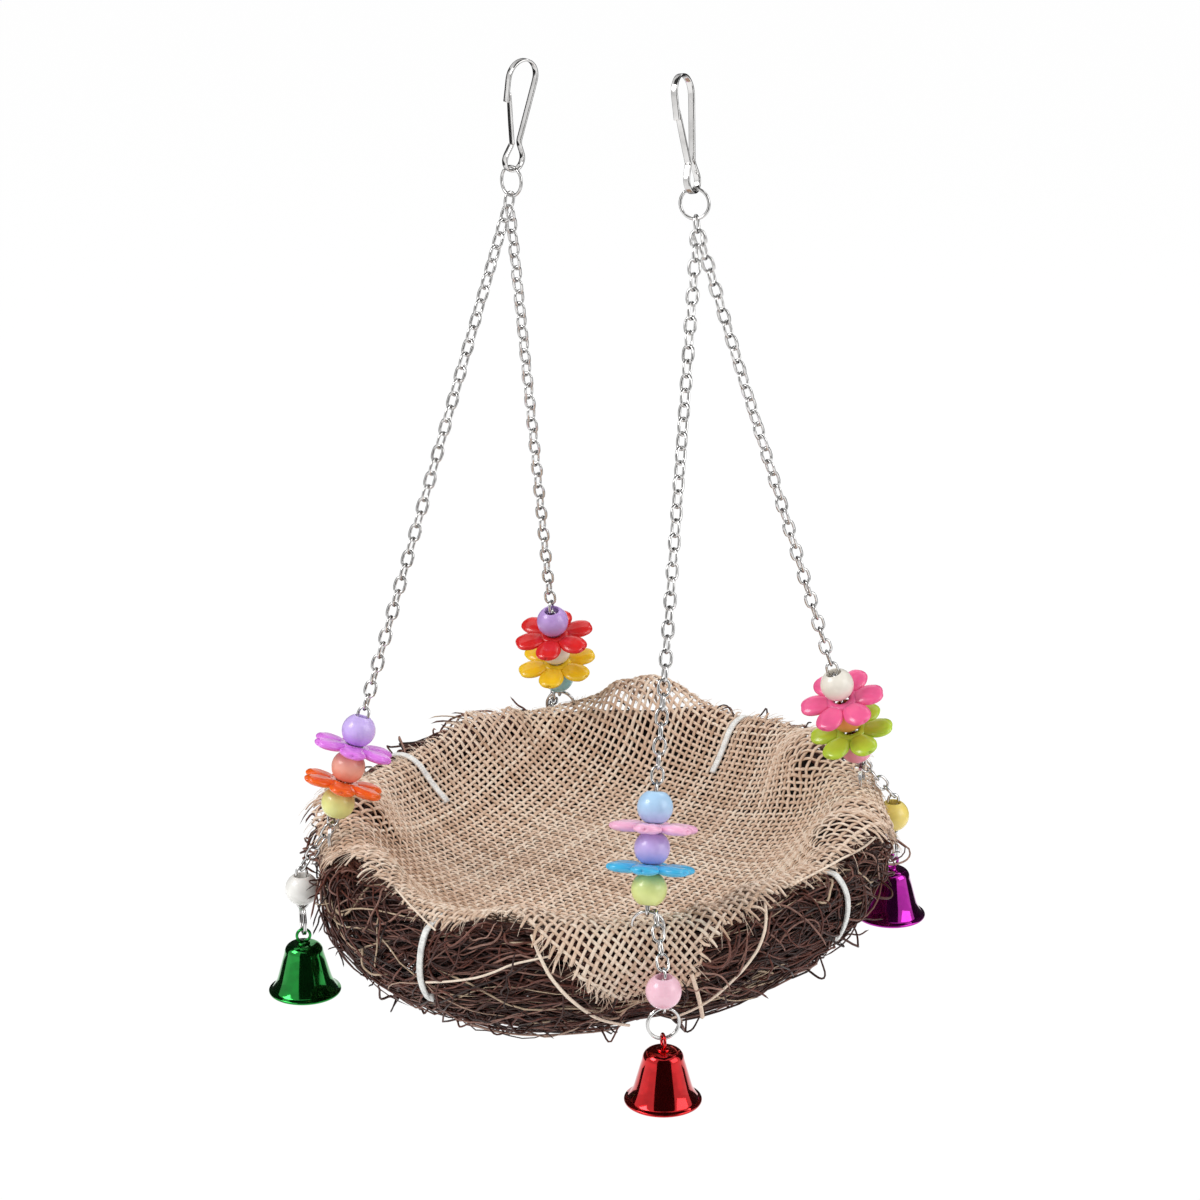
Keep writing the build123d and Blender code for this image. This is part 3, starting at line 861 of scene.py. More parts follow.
@dataclass
class Hangers:
    """Two snap hooks with their gates, and the rings in their eyes."""

    spacing: float = 73.0 * MM
    lean: float = 7.858
    turn: dict[Side, float] = field(default_factory=lambda: {Side.LEFT: 79.0, Side.RIGHT: 98.0})
    strip: float = 1.0 * MM
    width: float = 2.6 * MM
    bend: float = 6.5 * MM
    tip_length: float = 9.0 * MM
    slant: float = 12.0
    neck_half: float = 1.7 * MM
    eye_radius: float = 4.6 * MM
    eye_drop: float = 6.6 * MM
    gate_strip: float = 0.8 * MM
    gate_gap: float = 0.15 * MM
    gate_overlap: float = 3.5 * MM
    gate_root: float = 0.3 * MM
    gate_bow: float = 0.1 * MM
    gate_narrowing: float = 0.25
    eye_gap: float = 0.5 * MM
    squareness: float = 0.45
    ring_radius: float = 5.7 * MM
    ring_wire: float = 1.2 * MM
    ring_cut: float = 0.7
    ring_closed: float = 0.985

    def place(self, side: Side) -> Place:
        """A hook's bearing point, leaned along the line of pull and turned about it."""
        matrix = turned(1, -side.value * self.lean) @ turned(2, self.turn[side])
        return Place(np.array([side.value * self.spacing / 2.0, 0.0, 0.0]), matrix.T)

    def neck(self) -> float:
        """The height where the two legs meet: down the slanted leg from the end of the bend.

        Returns:
            The height, below the bearing point.
        """
        mean = self.bend + self.strip / 2.0
        slant = np.radians(self.slant)
        leg = (mean * np.cos(slant) - self.neck_half) / np.sin(slant)
        return float(-self.bend - mean * np.sin(slant) - leg * np.cos(slant))

    def strip_surface(self, outline: Points, thick: float, flare: float) -> Surface:
        """A flat strip with round corners carried along an outline in its upright plane.

        Args:
            outline: Points across and up.
            thick: The strip's thickness.
            flare: How much wider the strip gets at its far end, as a share.

        Returns:
            The strip in the hook's own frame.
        """
        upright = np.stack([outline[:, 0], np.zeros(len(outline)), outline[:, 1]], axis=-1)
        path = capped(upright)
        wide = cap_sizes(len(path), self.width / 2.0)
        wide = wide * (1.0 + flare * np.linspace(0.0, 1.0, len(path)) ** 4)
        deep = cap_sizes(len(path), thick / 2.0)
        return strands(path[None], BACKWARDS, deep[None], wide[None], 16, power=self.squareness)

    def hook_outline(self) -> Points:
        """The bent strip: tip, bend, slanted leg, neck, eye and back to the neck, its corners eased.

        The straight and round runs are laid end to end, cut into even steps, and each point is then
        averaged with its neighbours, which rounds the neck and leaves the long curves as they are.

        Returns:
            Points across and up.
        """
        mean = self.bend + self.strip / 2.0
        neck = self.neck()
        eye = neck - self.eye_drop
        touch = np.degrees(
            np.arctan2(self.eye_drop, self.neck_half)
            - np.arccos(self.eye_radius / np.hypot(self.neck_half, self.eye_drop))
        )
        runs = [
            np.array([[-mean, -self.bend - self.tip_length]]),
            arc((0.0, -self.bend), mean, 180.0, -self.slant, 40),
            np.array([[self.neck_half, neck]]),
            arc((0.0, eye), self.eye_radius, touch, -180.0 - touch, 40),
        ]
        pivot = np.array([-self.neck_half, neck])
        runs.append(pivot + unit(runs[-1][-1:] - pivot) * self.eye_gap)
        even = even_steps(np.concatenate(runs), 190)
        beside = 3
        kernel = np.full(2 * beside + 1, 1.0 / (2 * beside + 1))
        padded = np.pad(even, ((beside, beside), (0, 0)), mode="reflect", reflect_type="odd")
        return np.stack([np.convolve(column, kernel, "valid") for column in padded.T], axis=-1)

    def gate_outline(self) -> Points:
        """The free leg: a straight line from the neck to inside the tip, bowed a little outwards.

        Returns:
            Points across and up.
        """
        foot = np.array([-self.neck_half, self.neck()])
        across = -self.bend + self.gate_gap + self.gate_strip / 2.0
        head = np.array([across, -self.bend - self.tip_length + self.gate_overlap])
        foot = foot - unit(head - foot) * self.gate_root
        share = np.linspace(0.0, 1.0, 24)[:, None]
        bow = np.array([-self.gate_bow, 0.0]) * np.sin(np.pi * share)
        return foot + (head - foot) * share + bow

    def top_ring(self) -> Surface:
        """A round wire bent to a ring about Z, its two ends almost together.

        Returns:
            The ring about Z.
        """
        angle = np.linspace(0.0, TURN * self.ring_closed, 65) + self.ring_cut
        path = capped(round_z(self.ring_radius, angle, 0.0))
        wire = cap_sizes(len(path), self.ring_wire / 2.0)[None]
        return strands(path[None], UP, wire, wire, 12)

    def build(self, nickel: Material) -> None:
        """Make the hooks, gates and top rings.

        Args:
            nickel: The plate's material.
        """
        hook = self.strip_surface(self.hook_outline(), self.strip, 0.0)
        gate = self.strip_surface(self.gate_outline(), self.gate_strip, -self.gate_narrowing)
        ring = self.top_ring()
        for side in Side:
            for surface, node in ((hook, f"{side.word}_hook"), (gate, f"{side.word}_gate")):
                plate(surface.at(self.place(side)).show(f"{node}_strip", weld=True), nickel, node)
            node = f"{side.word}_top_ring"
            middles, axes = loose_pieces(node)
            placed = ring.at(Place.along(middles[0], axes[0][0], UP))
            plate(placed.show(f"{node}_wire", weld=True), nickel, node)


@dataclass
class Chains:
    """All oval links, and the split rings at the rim and over the bells."""

    length: float = 7.6 * MM
    width: float = 5.4 * MM
    wire: float = 1.12 * MM
    weld: float = 1.14
    split_radius: float = 6.1 * MM
    split_turns: float = 1.94
    coil_rise: float = 0.35 * MM
    coil_wide: float = 0.518 * MM
    coil_thick: float = 0.364 * MM
    coil_step: float = 14.0

    def link(self) -> Surface:
        """One oval link: two half circles joined by straights, thicker at the weld on one straight.

        Returns:
            The link, its length along X.
        """
        bow = (self.width - self.wire) / 2.0
        half = (self.length - self.width) / 2.0
        right = arc((half, 0.0), bow, 90.0, -90.0, 7)
        left = arc((-half, 0.0), bow, 270.0, 90.0, 7)
        flat = np.concatenate([right, left, [[0.0, bow]]])
        path = np.concatenate([flat, np.zeros((len(flat), 1))], axis=1)
        radius = np.full(len(path), self.wire / 2.0)
        radius[-1] *= self.weld
        return strands(path[None], UP, radius[None], radius[None], 6, closed=True)

    def split_ring(self) -> Surface:
        """A flat wire wound nearly two turns: two flat coils side by side, joined by a short step.

        Returns:
            The ring about Z.
        """
        share = np.linspace(0.0, 1.0, 110)
        angle = TURN * self.split_turns * share
        rise = self.coil_rise * np.clip((share - 0.5) * self.coil_step, -1.0, 1.0)
        path = capped(round_z(self.split_radius, angle, rise))
        wide = cap_sizes(len(path), self.coil_wide)[None]
        thick = cap_sizes(len(path), self.coil_thick)[None]
        return strands(path[None], UP, wide, thick, 10, power=0.7)

    def build(self, nickel: Material) -> None:
        """Set a link or a split ring in the place of each CAD solid.

        Args:
            nickel: The plate's material.
        """
        link = self.link()
        nodes = [f"{side.word}_yoke_link" for side in Side] + ["shoulder_links"]
        nodes += [f"{corner.word}_{kind}" for corner in Corner for kind in ("chain", "drop_chain")]
        for node in nodes:
            middles, axes = loose_pieces(node)
            own = axes[:, [2, 1, 0]]
            own[:, 1] = np.cross(own[:, 2], own[:, 0])
            plate(link.repeated(middles, own).show(f"{node}_wire"), nickel, node)
        coil = self.split_ring()
        for node in ["rim_rings"] + [f"{corner.word}_bell_ring" for corner in Corner]:
            middles, axes = loose_pieces(node)
            rings = [coil.at(Place.along(middle, own[0], UP)) for middle, own in zip(middles, axes)]
            plate(Surface.joined(*rings).show(f"{node}_coil", weld=True), nickel, node)


@dataclass
class Stacks:
    """Beads and flowers threaded on the chains, and the beads over the bells, in screen colours."""

    bead_radius: float = 6.75 * MM
    bore: float = 3.1 * MM
    lip: float = 0.5 * MM
    hub_radius: float = 6.4 * MM
    hub_thick: float = 3.0 * MM
    hub_round: float = 0.5 * MM
    reach: float = 17.0 * MM
    petal_length: float = 12.8 * MM
    petal_width: float = 11.0 * MM
    petal_thick: float = 4.2 * MM
    petal_waist: float = 0.80
    petals: int = 6
    crease_depth: float = 0.24
    crease_half: float = 0.8 * MM
    ridge_height: float = 0.05
    ridge_step: float = 1.5 * MM
    pit_depth: float = 1.1 * MM
    pit_half: float = 0.55 * MM
    bead_depth: float = 0.2
    bead_rough: Pair = (0.19, 0.31)
    flower_depth: float = 0.35
    flower_rough: Pair = (0.15, 0.27)
    tip_way: Triple = (0.584, -0.812, 0.0)
    tips: dict[str, float] = field(
        default_factory=lambda: {"right_upper_flower": 14.0, "right_lower_flower": 9.0}
    )
    colours: dict[str, Levels] = field(
        default_factory=lambda: {
            "front_top_bead": (184, 220, 252),
            "front_upper_flower": (254, 188, 220),
            "front_middle_bead": (210, 188, 244),
            "front_lower_flower": (72, 190, 236),
            "front_bottom_bead": (228, 236, 152),
            "right_top_bead": (244, 238, 226),
            "right_upper_flower": (250, 104, 158),
            "right_middle_bead": (246, 164, 92),
            "right_lower_flower": (190, 218, 66),
            "right_bottom_bead": (250, 160, 186),
            "back_top_bead": (196, 160, 226),
            "back_upper_flower": (226, 40, 40),
            "back_middle_bead": (240, 236, 226),
            "back_lower_flower": (250, 208, 40),
            "back_bottom_bead": (150, 206, 214),
            "left_top_bead": (214, 190, 252),
            "left_upper_flower": (230, 130, 236),
            "left_middle_bead": (252, 184, 162),
            "left_lower_flower": (250, 106, 24),
            "left_bottom_bead": (238, 238, 152),
            "front_drop_bead": (254, 204, 220),
            "right_drop_bead": (246, 222, 120),
            "back_drop_bead": (170, 214, 236),
            "left_drop_bead": (250, 248, 243),
        }
    )

    def bead(self) -> Surface:
        """A round bead: a circle's arc from bore to bore, eased into the bore, turned about Z.

        Returns:
            The bead.
        """
        open_angle = np.degrees(np.arccos((self.bore + self.lip) / self.bead_radius))
        skin = arc((0.0, 0.0), self.bead_radius, -open_angle, open_angle, 21)
        top = skin[-1, 1]
        lip = np.array([self.bore, top]) + np.array([[0.4, 0.28], [0.06, -0.1]]) * self.lip
        bore = np.array([[self.bore, top - self.lip], [self.bore, self.lip - top]])
        foot = lip[::-1] * np.array([1.0, -1.0])
        return lathe(np.concatenate([skin, lip, bore, foot]), 32, closed=True)

    def petal(self) -> Points:
        """A grid of one petal along X.

        The length is half the petal's length times the cosine of the first angle. The width and
        thickness are powers of its sine times the cosine and sine of the second angle, the width
        slimmer at the root. A crease runs along the middle, fine ridges run beside it, and a small
        pit is sunk in the tip.

        Returns:
            The grid's points.
        """
        first = np.concatenate([[0.0, 0.08, 0.16, 0.26], np.linspace(0.42, np.pi, 15)])[:, None]
        second = -TURN * np.arange(20)[None, :] / 20
        along = self.petal_length / 2.0 * np.cos(first) * np.ones_like(second)
        filled = ease(along, -self.petal_length / 2.0, self.petal_length * 0.1)
        slim = self.petal_waist + (1.0 - self.petal_waist) * filled
        wide = self.petal_width / 2.0 * np.sin(first) ** 0.65 * np.cos(second) * slim
        deep = self.petal_thick / 2.0 * np.sin(first) ** 0.6 * np.sin(second)
        crease = 1.0 - self.crease_depth * bell(wide, self.crease_half) * np.sin(first) ** 2
        ridge = 1.0 + self.ridge_height * np.cos(TURN * wide / self.ridge_step) * np.sin(first)
        pit = self.pit_depth * bell(np.hypot(wide, deep), self.pit_half) * (np.cos(first) > 0.5)
        outwards = self.reach - self.petal_length / 2.0 + along - pit
        return np.stack([outwards, wide, deep * crease * ridge], axis=-1)

    def flower(self) -> Surface:
        """Petals turned in equal steps round a bored hub with rounded edges.

        Returns:
            The flower about Z.
        """
        petal = self.petal()
        steps = np.stack([turned(2, 360.0 / self.petals * step) for step in range(self.petals)])
        ring = np.einsum("rck,pjk->prcj", petal, steps)
        half = self.hub_thick / 2.0
        under = np.array(
            [
                [self.bore, self.hub_round - half],
                [self.bore + self.hub_round, -half],
                [self.hub_radius - self.hub_round, -half],
                [self.hub_radius, self.hub_round - half],
            ]
        )
        hub = np.concatenate([under, under[::-1] * np.array([1.0, -1.0])])
        return Surface.joined(Surface.grid(ring), lathe(hub, 36, closed=True))

    def build(self) -> None:
        """Set a bead or flower in the place of each CAD node and colour it."""
        bead = self.bead()
        flower = self.flower()
        for corner in Corner:
            way = np.array(JOINTS[f"{corner.word}_stack_slide"]["axis"])
            for kind in ("top_bead", "upper_flower", "middle_bead", "lower_flower", "bottom_bead"):
                self.thread(f"{corner.word}_{kind}", flower if "flower" in kind else bead, way)
            self.thread(f"{corner.word}_drop_bead", bead, UP)

    def thread(self, node: str, surface: Surface, way: Points) -> None:
        """Put one bead or flower on its chain, its bore along the chain's way, tipped where it hangs so.

        A tip adds the tangent of its angle to the chain's way, square to it and towards the tip's way.

        Args:
            node: The CAD node's name.
            surface: The bead or flower about Z.
            way: The chain's way.
        """
        near = UP if abs(way[2]) < 0.999 else np.array([1.0, 0.0, 0.0])
        hinge = unit(np.cross(way, np.array(self.tip_way)))
        way = way + np.cross(hinge, way) * np.tan(np.radians(self.tips.get(node, 0.0)))
        place = Place.along(node_middle(node), way, near)
        piece = surface.at(place).show(f"{node}_moulding", weld=True)
        colour = from_screen(*self.colours[node])
        if "flower" in node:
            finish = MouldedPlastic(colour, self.flower_depth, self.flower_rough)
        else:
            finish = MouldedPlastic(colour, self.bead_depth, self.bead_rough)
        dress(piece, finish.material(f"plastic_{node}"))
        stand_in(piece, node)


@dataclass
class Bells:
    """Four lacquered bells, in screen colours, with their wire eyes and clappers."""

    crown: float = 7.8 * MM
    shoulder: float = 3.6 * MM
    waist: float = 10.8 * MM
    waist_depth: float = 14.5 * MM
    lip: float = 14.2 * MM
    height: float = 20.5 * MM
    wall: float = 0.8 * MM
    flare: float = 0.48
    roll: float = 0.75 * MM
    roll_off: Pair = (0.1 * MM, 0.25 * MM)
    eye_radius: float = 2.7 * MM
    eye_wire: float = 1.2 * MM
    washer_radius: float = 2.6 * MM
    washer: float = 0.6 * MM
    stem: float = 0.9 * MM
    inner_eye: float = 1.7 * MM
    inner_wire: float = 0.9 * MM
    colours: dict[Corner, Levels] = field(
        default_factory=lambda: {
            Corner.FRONT: (214, 26, 32),
            Corner.RIGHT: (186, 24, 168),
            Corner.BACK: (28, 78, 206),
            Corner.LEFT: (20, 150, 54),
        }
    )

    def side(self, inset: float, count: int) -> Points:
        """The wall from crown to lip: a quarter circle, a straight and a flare bent like a parabola.

        Args:
            inset: How far the line is moved in from the outside.
            count: Points along the flare.

        Returns:
            Radius and height below the crown.
        """
        flat = self.crown - self.shoulder
        round_top = arc((flat, -self.shoulder), self.shoulder - inset, 90.0, 0.0, 9)
        waist = np.array([self.waist - inset, -self.waist_depth])
        lip = np.array([self.lip - inset, -self.height])
        straight = round_top[-1] + (waist - round_top[-1]) * np.linspace(0.25, 1.0, 4)[:, None]
        pull = waist + unit(waist - round_top[-1]) * self.flare * (self.height - self.waist_depth)
        share = np.linspace(0.0, 1.0, count)[1:, None]
        flare = (1 - share) ** 2 * waist + 2 * share * (1 - share) * pull + share**2 * lip
        return np.concatenate([[[0.0, -inset]], round_top, straight, flare])

    def cup(self) -> Surface:
        """The bell's wall, in and out, with a rolled lip, turned about Z.

        Returns:
            The cup, its crown at the origin.
        """
        outer = self.side(0.0, 9)[::-1]
        inner = self.side(self.wall, 9)
        middle = (inner[-1] + outer[0]) / 2.0 + np.array(self.roll_off)
        roll = arc(middle, self.roll, -150.0, 40.0, 8)
        return lathe(np.concatenate([inner[:-1], roll, outer[1:]]), 56)

    def hanger(self) -> Surface:
        """The wire eye on its washer, and the stem and eye below it inside the cup.

        Returns:
            The hanger, in the cup's frame.
        """
        angle = TURN * np.arange(28) / 28
        flat = np.stack([np.cos(angle), np.zeros_like(angle), np.sin(angle)], axis=-1)
        eye = flat * self.eye_radius + UP * (self.washer + self.eye_radius)
        wire = self.eye_wire / 2.0
        loop = strands(eye[None], BACKWARDS, wire, wire, 10, closed=True)
        drop = self.wall + self.inner_eye + self.inner_wire
        small = flat * self.inner_eye - UP * drop
        thin = self.inner_wire / 2.0
        under = strands(small[None], BACKWARDS, thin, thin, 8, closed=True)
        low = -drop + self.inner_eye
        turned_stem = np.array(
            [
                [0.0, low],
                [self.stem, low],
                [self.stem, -self.wall],
                [self.washer_radius, -0.1 * MM],
                [self.washer_radius, self.washer * 0.7],
                [self.washer_radius - 0.3 * MM, self.washer],
                [0.0, self.washer],
            ]
        )
        return Surface.joined(loop, under, lathe(turned_stem, 24))

    def build(self, nickel: Material) -> None:
        """Set a bell in each CAD bell's place and dress the clappers.

        Args:
            nickel: The plate's material.
        """
        bell = Surface.joined(self.cup(), self.hanger())
        for corner in Corner:
            node = f"{corner.word}_bell"
            low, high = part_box(node)
            crown = np.array([(low.x + high.x) / 2, (low.y + high.y) / 2, low.z + self.height])
            ring_way = loose_pieces(f"{corner.word}_bell_ring")[1][0][0]
            piece = bell.at(Place.along(crown, UP, ring_way)).show(f"{node}_cup", weld=True)
            lacquer = TintedMetal(from_screen(*self.colours[corner]))
            dress(piece, lacquer.material(f"lacquer_{node}"))
            stand_in(piece, node)
            dress(frame["nodes"][f"{corner.word}_clapper"], nickel)
            LOG.info("%s_clapper keeps its solid", corner.word)


@dataclass(frozen=True)
class NestSection:
    """The nest's section: floor, bowl, rim bundle, outer wall and base, by running length.

    The running length starts at the nest's axis. The bulge and the sag of the outside are given by
    degrees and radians round the nest, and by running length past the equator and the base's edge.
    """

    rim: float = 103.0 * MM
    bundle: float = 11.0 * MM
    height: float = 40.0 * MM
    floor_thick: float = 12.0 * MM
    floor: float = 45.0 * MM
    drop: float = 300.0 * MM
    tilt: float = 4.5
    fullest: float = -106.0
    full: float = 5.5 * MM
    full_spread: float = 0.68
    swells: Pair = (-8.0 * MM, 14.0 * MM)
    shrinks: Pair = (-2.0 * MM, 28.0 * MM)
    lump: float = 0.9 * MM
    lump_step: float = 9.0 * MM
    corner_clear: float = 0.9
    corner_spread: float = 0.14
    sag: float = 2.5 * MM
    sag_inset: Pair = (8.0 * MM, 4.0 * MM)
    lowest: float = -72.0
    low_spread: float = 0.7
    front_sag: float = 2.5 * MM
    front_ends: Pair = (5.0 * MM, 45.0 * MM)

    def runs(self) -> list[tuple[Points, Points]]:
        """The five runs of the section as points and the ways that they face.

        Returns:
            Points and ways for each run, as radius and height.
        """
        low = self.floor_thick - self.height
        out, down = self.rim - self.floor, -self.bundle - low
        bowl = (out**2 + down**2 - self.bundle**2) / (2 * (down + self.bundle))
        bowl_at = (self.floor, low + bowl)
        meet = np.degrees(np.arctan2(bowl_at[1] + self.bundle, bowl_at[0] - self.rim))
        wall = self.height - self.bundle
        wall_at = (self.rim + self.bundle - wall, -self.bundle)
        flat = np.linspace(0.0, self.floor, 12)
        under = np.linspace(wall_at[0], 0.0, 14)
        return [
            (np.stack([flat, np.full(12, low)], -1), np.tile([0.0, 1.0], (12, 1))),
            (arc(bowl_at, bowl, -90, meet - 180, 40), -arc((0, 0), 1, -90, meet - 180, 40)),
            (arc((self.rim, -self.bundle), self.bundle, meet, 0, 40), arc((0, 0), 1, meet, 0, 40)),
            (arc(wall_at, wall, 0, -90, 40), arc((0, 0), 1, 0, -90, 40)),
            (np.stack([under, np.full(14, -self.height)], -1), np.tile([0.0, -1.0], (14, 1))),
        ]

    def table(self) -> tuple[Points, Points, Points]:
        """The running length, the points and the facing ways of the whole section.

        Returns:
            The three, point by point.
        """
        points = np.concatenate([run[0] for run in self.runs()])
        ways = np.concatenate([run[1] for run in self.runs()])
        return run_along(points), points, ways

    def marks(self) -> Points:
        """The running length at the end of each run."""
        lengths = [np.linalg.norm(np.diff(run[0], axis=0), axis=1).sum() for run in self.runs()]
        return np.cumsum(lengths)

    def crest(self) -> float:
        """The running length at the top of the rim."""
        length, points, _ = self.table()
        return float(length[np.argmax(points[:, 1])])

    def world(self, points: Points) -> Points:
        """Points of the nest's own frame, tilted about X and hung below the hooks."""
        return points @ turned(0, self.tilt).T + np.array([0.0, 0.0, -self.drop])

    def flat_spot(self, run: Points, lift: Points | float) -> tuple[Points, Points]:
        """Radius and height at a running length, moved out along the facing way by a lift.

        Args:
            run: The running length along the section.
            lift: How far off the section.

        Returns:
            The radius and the height.
        """
        length, points, ways = self.table()
        radius = np.interp(run, length, points[:, 0]) + lift * np.interp(run, length, ways[:, 0])
        height = np.interp(run, length, points[:, 1]) + lift * np.interp(run, length, ways[:, 1])
        return radius, height

    def uneven(self, angle: Points, run: Points) -> Points:
        """How far the wound wall stands out from its even section, low on the outside.

        A bell curve of the angle times a rise and a fall along the section, plus slow lumps, kept clear
        of the beads at the corners. The lower wall and base sag evenly, and by a bell curve in front.

        Args:
            angle: The angle round the nest.
            run: The running length along the section.

        Returns:
            The step outwards along the facing way.
        """
        _, _, equator, base, _ = self.marks()
        low = ease(run - equator, *self.swells) * (1.0 - ease(run - base, *self.shrinks))
        lumps = self.lump * np.sin(3.0 * angle + 0.7) * np.sin(run / self.lump_step)
        bulge = self.full * bell(gap_to(angle, self.fullest), self.full_spread) + lumps
        at_corner = bell(gap_to_nearest(angle, Corner.RIGHT.value), self.corner_spread)
        front = bell(gap_to(angle, self.lowest), self.low_spread)
        front = front * (1.0 - ease(run - base, *self.front_ends))
        hung = ease(run, equator + self.sag_inset[0], base - self.sag_inset[1])
        sag = self.sag + self.front_sag * front
        return low * (1.0 - self.corner_clear * at_corner) * bulge + hung * sag

    def spot(self, angle: Points, run: Points, lift: Points | float) -> Points:
        """Points on the nest, by the angle and the running length.

        Args:
            angle: The angle round the nest.
            run: The running length along the section.
            lift: How far off the section.

        Returns:
            The points.
        """
        radius, height = self.flat_spot(run, lift + self.uneven(angle, run))
        return self.world(round_z(radius, angle, height))

    def facing(self, angle: Points, run: Points) -> Points:
        """The way that the nest's surface faces at an angle and running length.

        Args:
            angle: The angle round the nest.
            run: The running length along the section.

        Returns:
            The ways.
        """
        length, _, ways = self.table()
        outwards = np.interp(run, length, ways[:, 0])
        upwards = np.interp(run, length, ways[:, 1])
        return round_z(outwards, angle, upwards) @ turned(0, self.tilt).T


@dataclass(frozen=True)
class ClothCut:
    """The square of cloth as it lies: how far its edge reaches past the rim's crest, all round.

    One corner hangs down in front and the others end on the rim, so the edge is listed, as
    degrees round the nest and millimetres past the crest.
    """

    section: NestSection
    side: float = 230.0 * MM
    reach: float = 122.0 * MM
    outline: tuple[Pair, ...] = (
        (-180, -1), (-165, 3), (-150, 8), (-135, 11), (-127, 8), (-120, 3), (-110, 1), (-103, 1),
        (-96, 4), (-90, 7), (-81, 5), (-75, 2), (-71, 3), (-68, 5), (-64, 10), (-60, 15), (-57, 21),
        (-55, 27), (-52, 29), (-49, 30), (-46, 29), (-42, 28), (-38, 25), (-36.5, 22), (-35.5, 13),
        (-32, 9), (-28, 8), (-24, 6), (-20, 4), (3, 4), (12, 6), (22, 10), (28, 17), (36, 21),
        (45, 19), (55, 9), (70, 3), (90, 0), (104, 3), (114, 11), (124, 8), (135, 4), (150, 1),
        (165, -1), (180, -1),
    )

    def edge(self, angle: Points) -> Points:
        """The running length where the cloth ends: the crest's, plus the outline joined by straights.

        Args:
            angle: The angle round the nest.

        Returns:
            The running length at each angle.
        """
        table = np.array(self.outline, float)
        past = np.interp(np.degrees(gap_to(angle, 0.0)), table[:, 0], table[:, 1])
        return self.section.crest() + past * MM


class Girth(Enum):
    """The thinnest and thickest radius of a kind of twig."""

    FINE = (0.28 * MM, 0.54 * MM)
    STOUT = (0.34 * MM, 0.64 * MM)
    BASE = (0.45 * MM, 0.80 * MM)


@dataclass(frozen=True)
class TwigLay:
    """One layer of twigs: how many there are and how they lie.

    The slant is in degrees off the way round the nest, and the bend in radians along a twig.
    """

    count: int
    length: Pair
    slant: float
    lift: Pair
    loose: float
    bend: float = 0.9
    girth: Girth = Girth.STOUT
    near_rim: bool = False
    # A factor on the twigs' tints, painted shade: under 1 darkens a deeper or lower layer, over 1 lightens the top
    # one.
    shade: float = 1.0


@dataclass(frozen=True)
class BaseLay:
    """The twigs across the base: bowed chords of a circle, some of them cut short."""

    count: int = 300
    circle: float = 90.0 * MM
    off_middle: float = 81.84 * MM
    shortest: float = 0.35
    bow: float = 14.0 * MM
    depth: Pair = (-2.2 * MM, 1.4 * MM)
    waver: float = 0.7 * MM
    edge: Pair = (80.0 * MM, 100.0 * MM)
    edge_rise: float = 5.0 * MM
    # A factor on the tints, painted shade on the twigs under the nest.
    shade: float = 0.85


@dataclass(frozen=True)
class Draws:
    """Chance values in a column, one for each of a number of pieces."""

    chance: np.random.Generator
    count: int

    def even(self, least: float, most: float) -> Points:
        """Values spread evenly over a range."""
        return self.chance.uniform(least, most, (self.count, 1))

    def about(self, middle: float, spread: float) -> Points:
        """Values gathered about a middle, by the normal curve."""
        return self.chance.normal(middle, spread, (self.count, 1))

    def mostly_low(self, first: float, second: float) -> Points:
        """Values from 0 to 1 by the beta curve, which here favours the low ones."""
        return self.chance.beta(first, second, (self.count, 1))

    def waves(self, size: Pair, count: Pair, share: Points) -> Points:
        """A sine along each piece, with its own size, number of waves and start."""
        height = self.even(*size)
        return height * np.sin(TURN * (self.even(*count) * share + self.even(0.0, 1.0)))


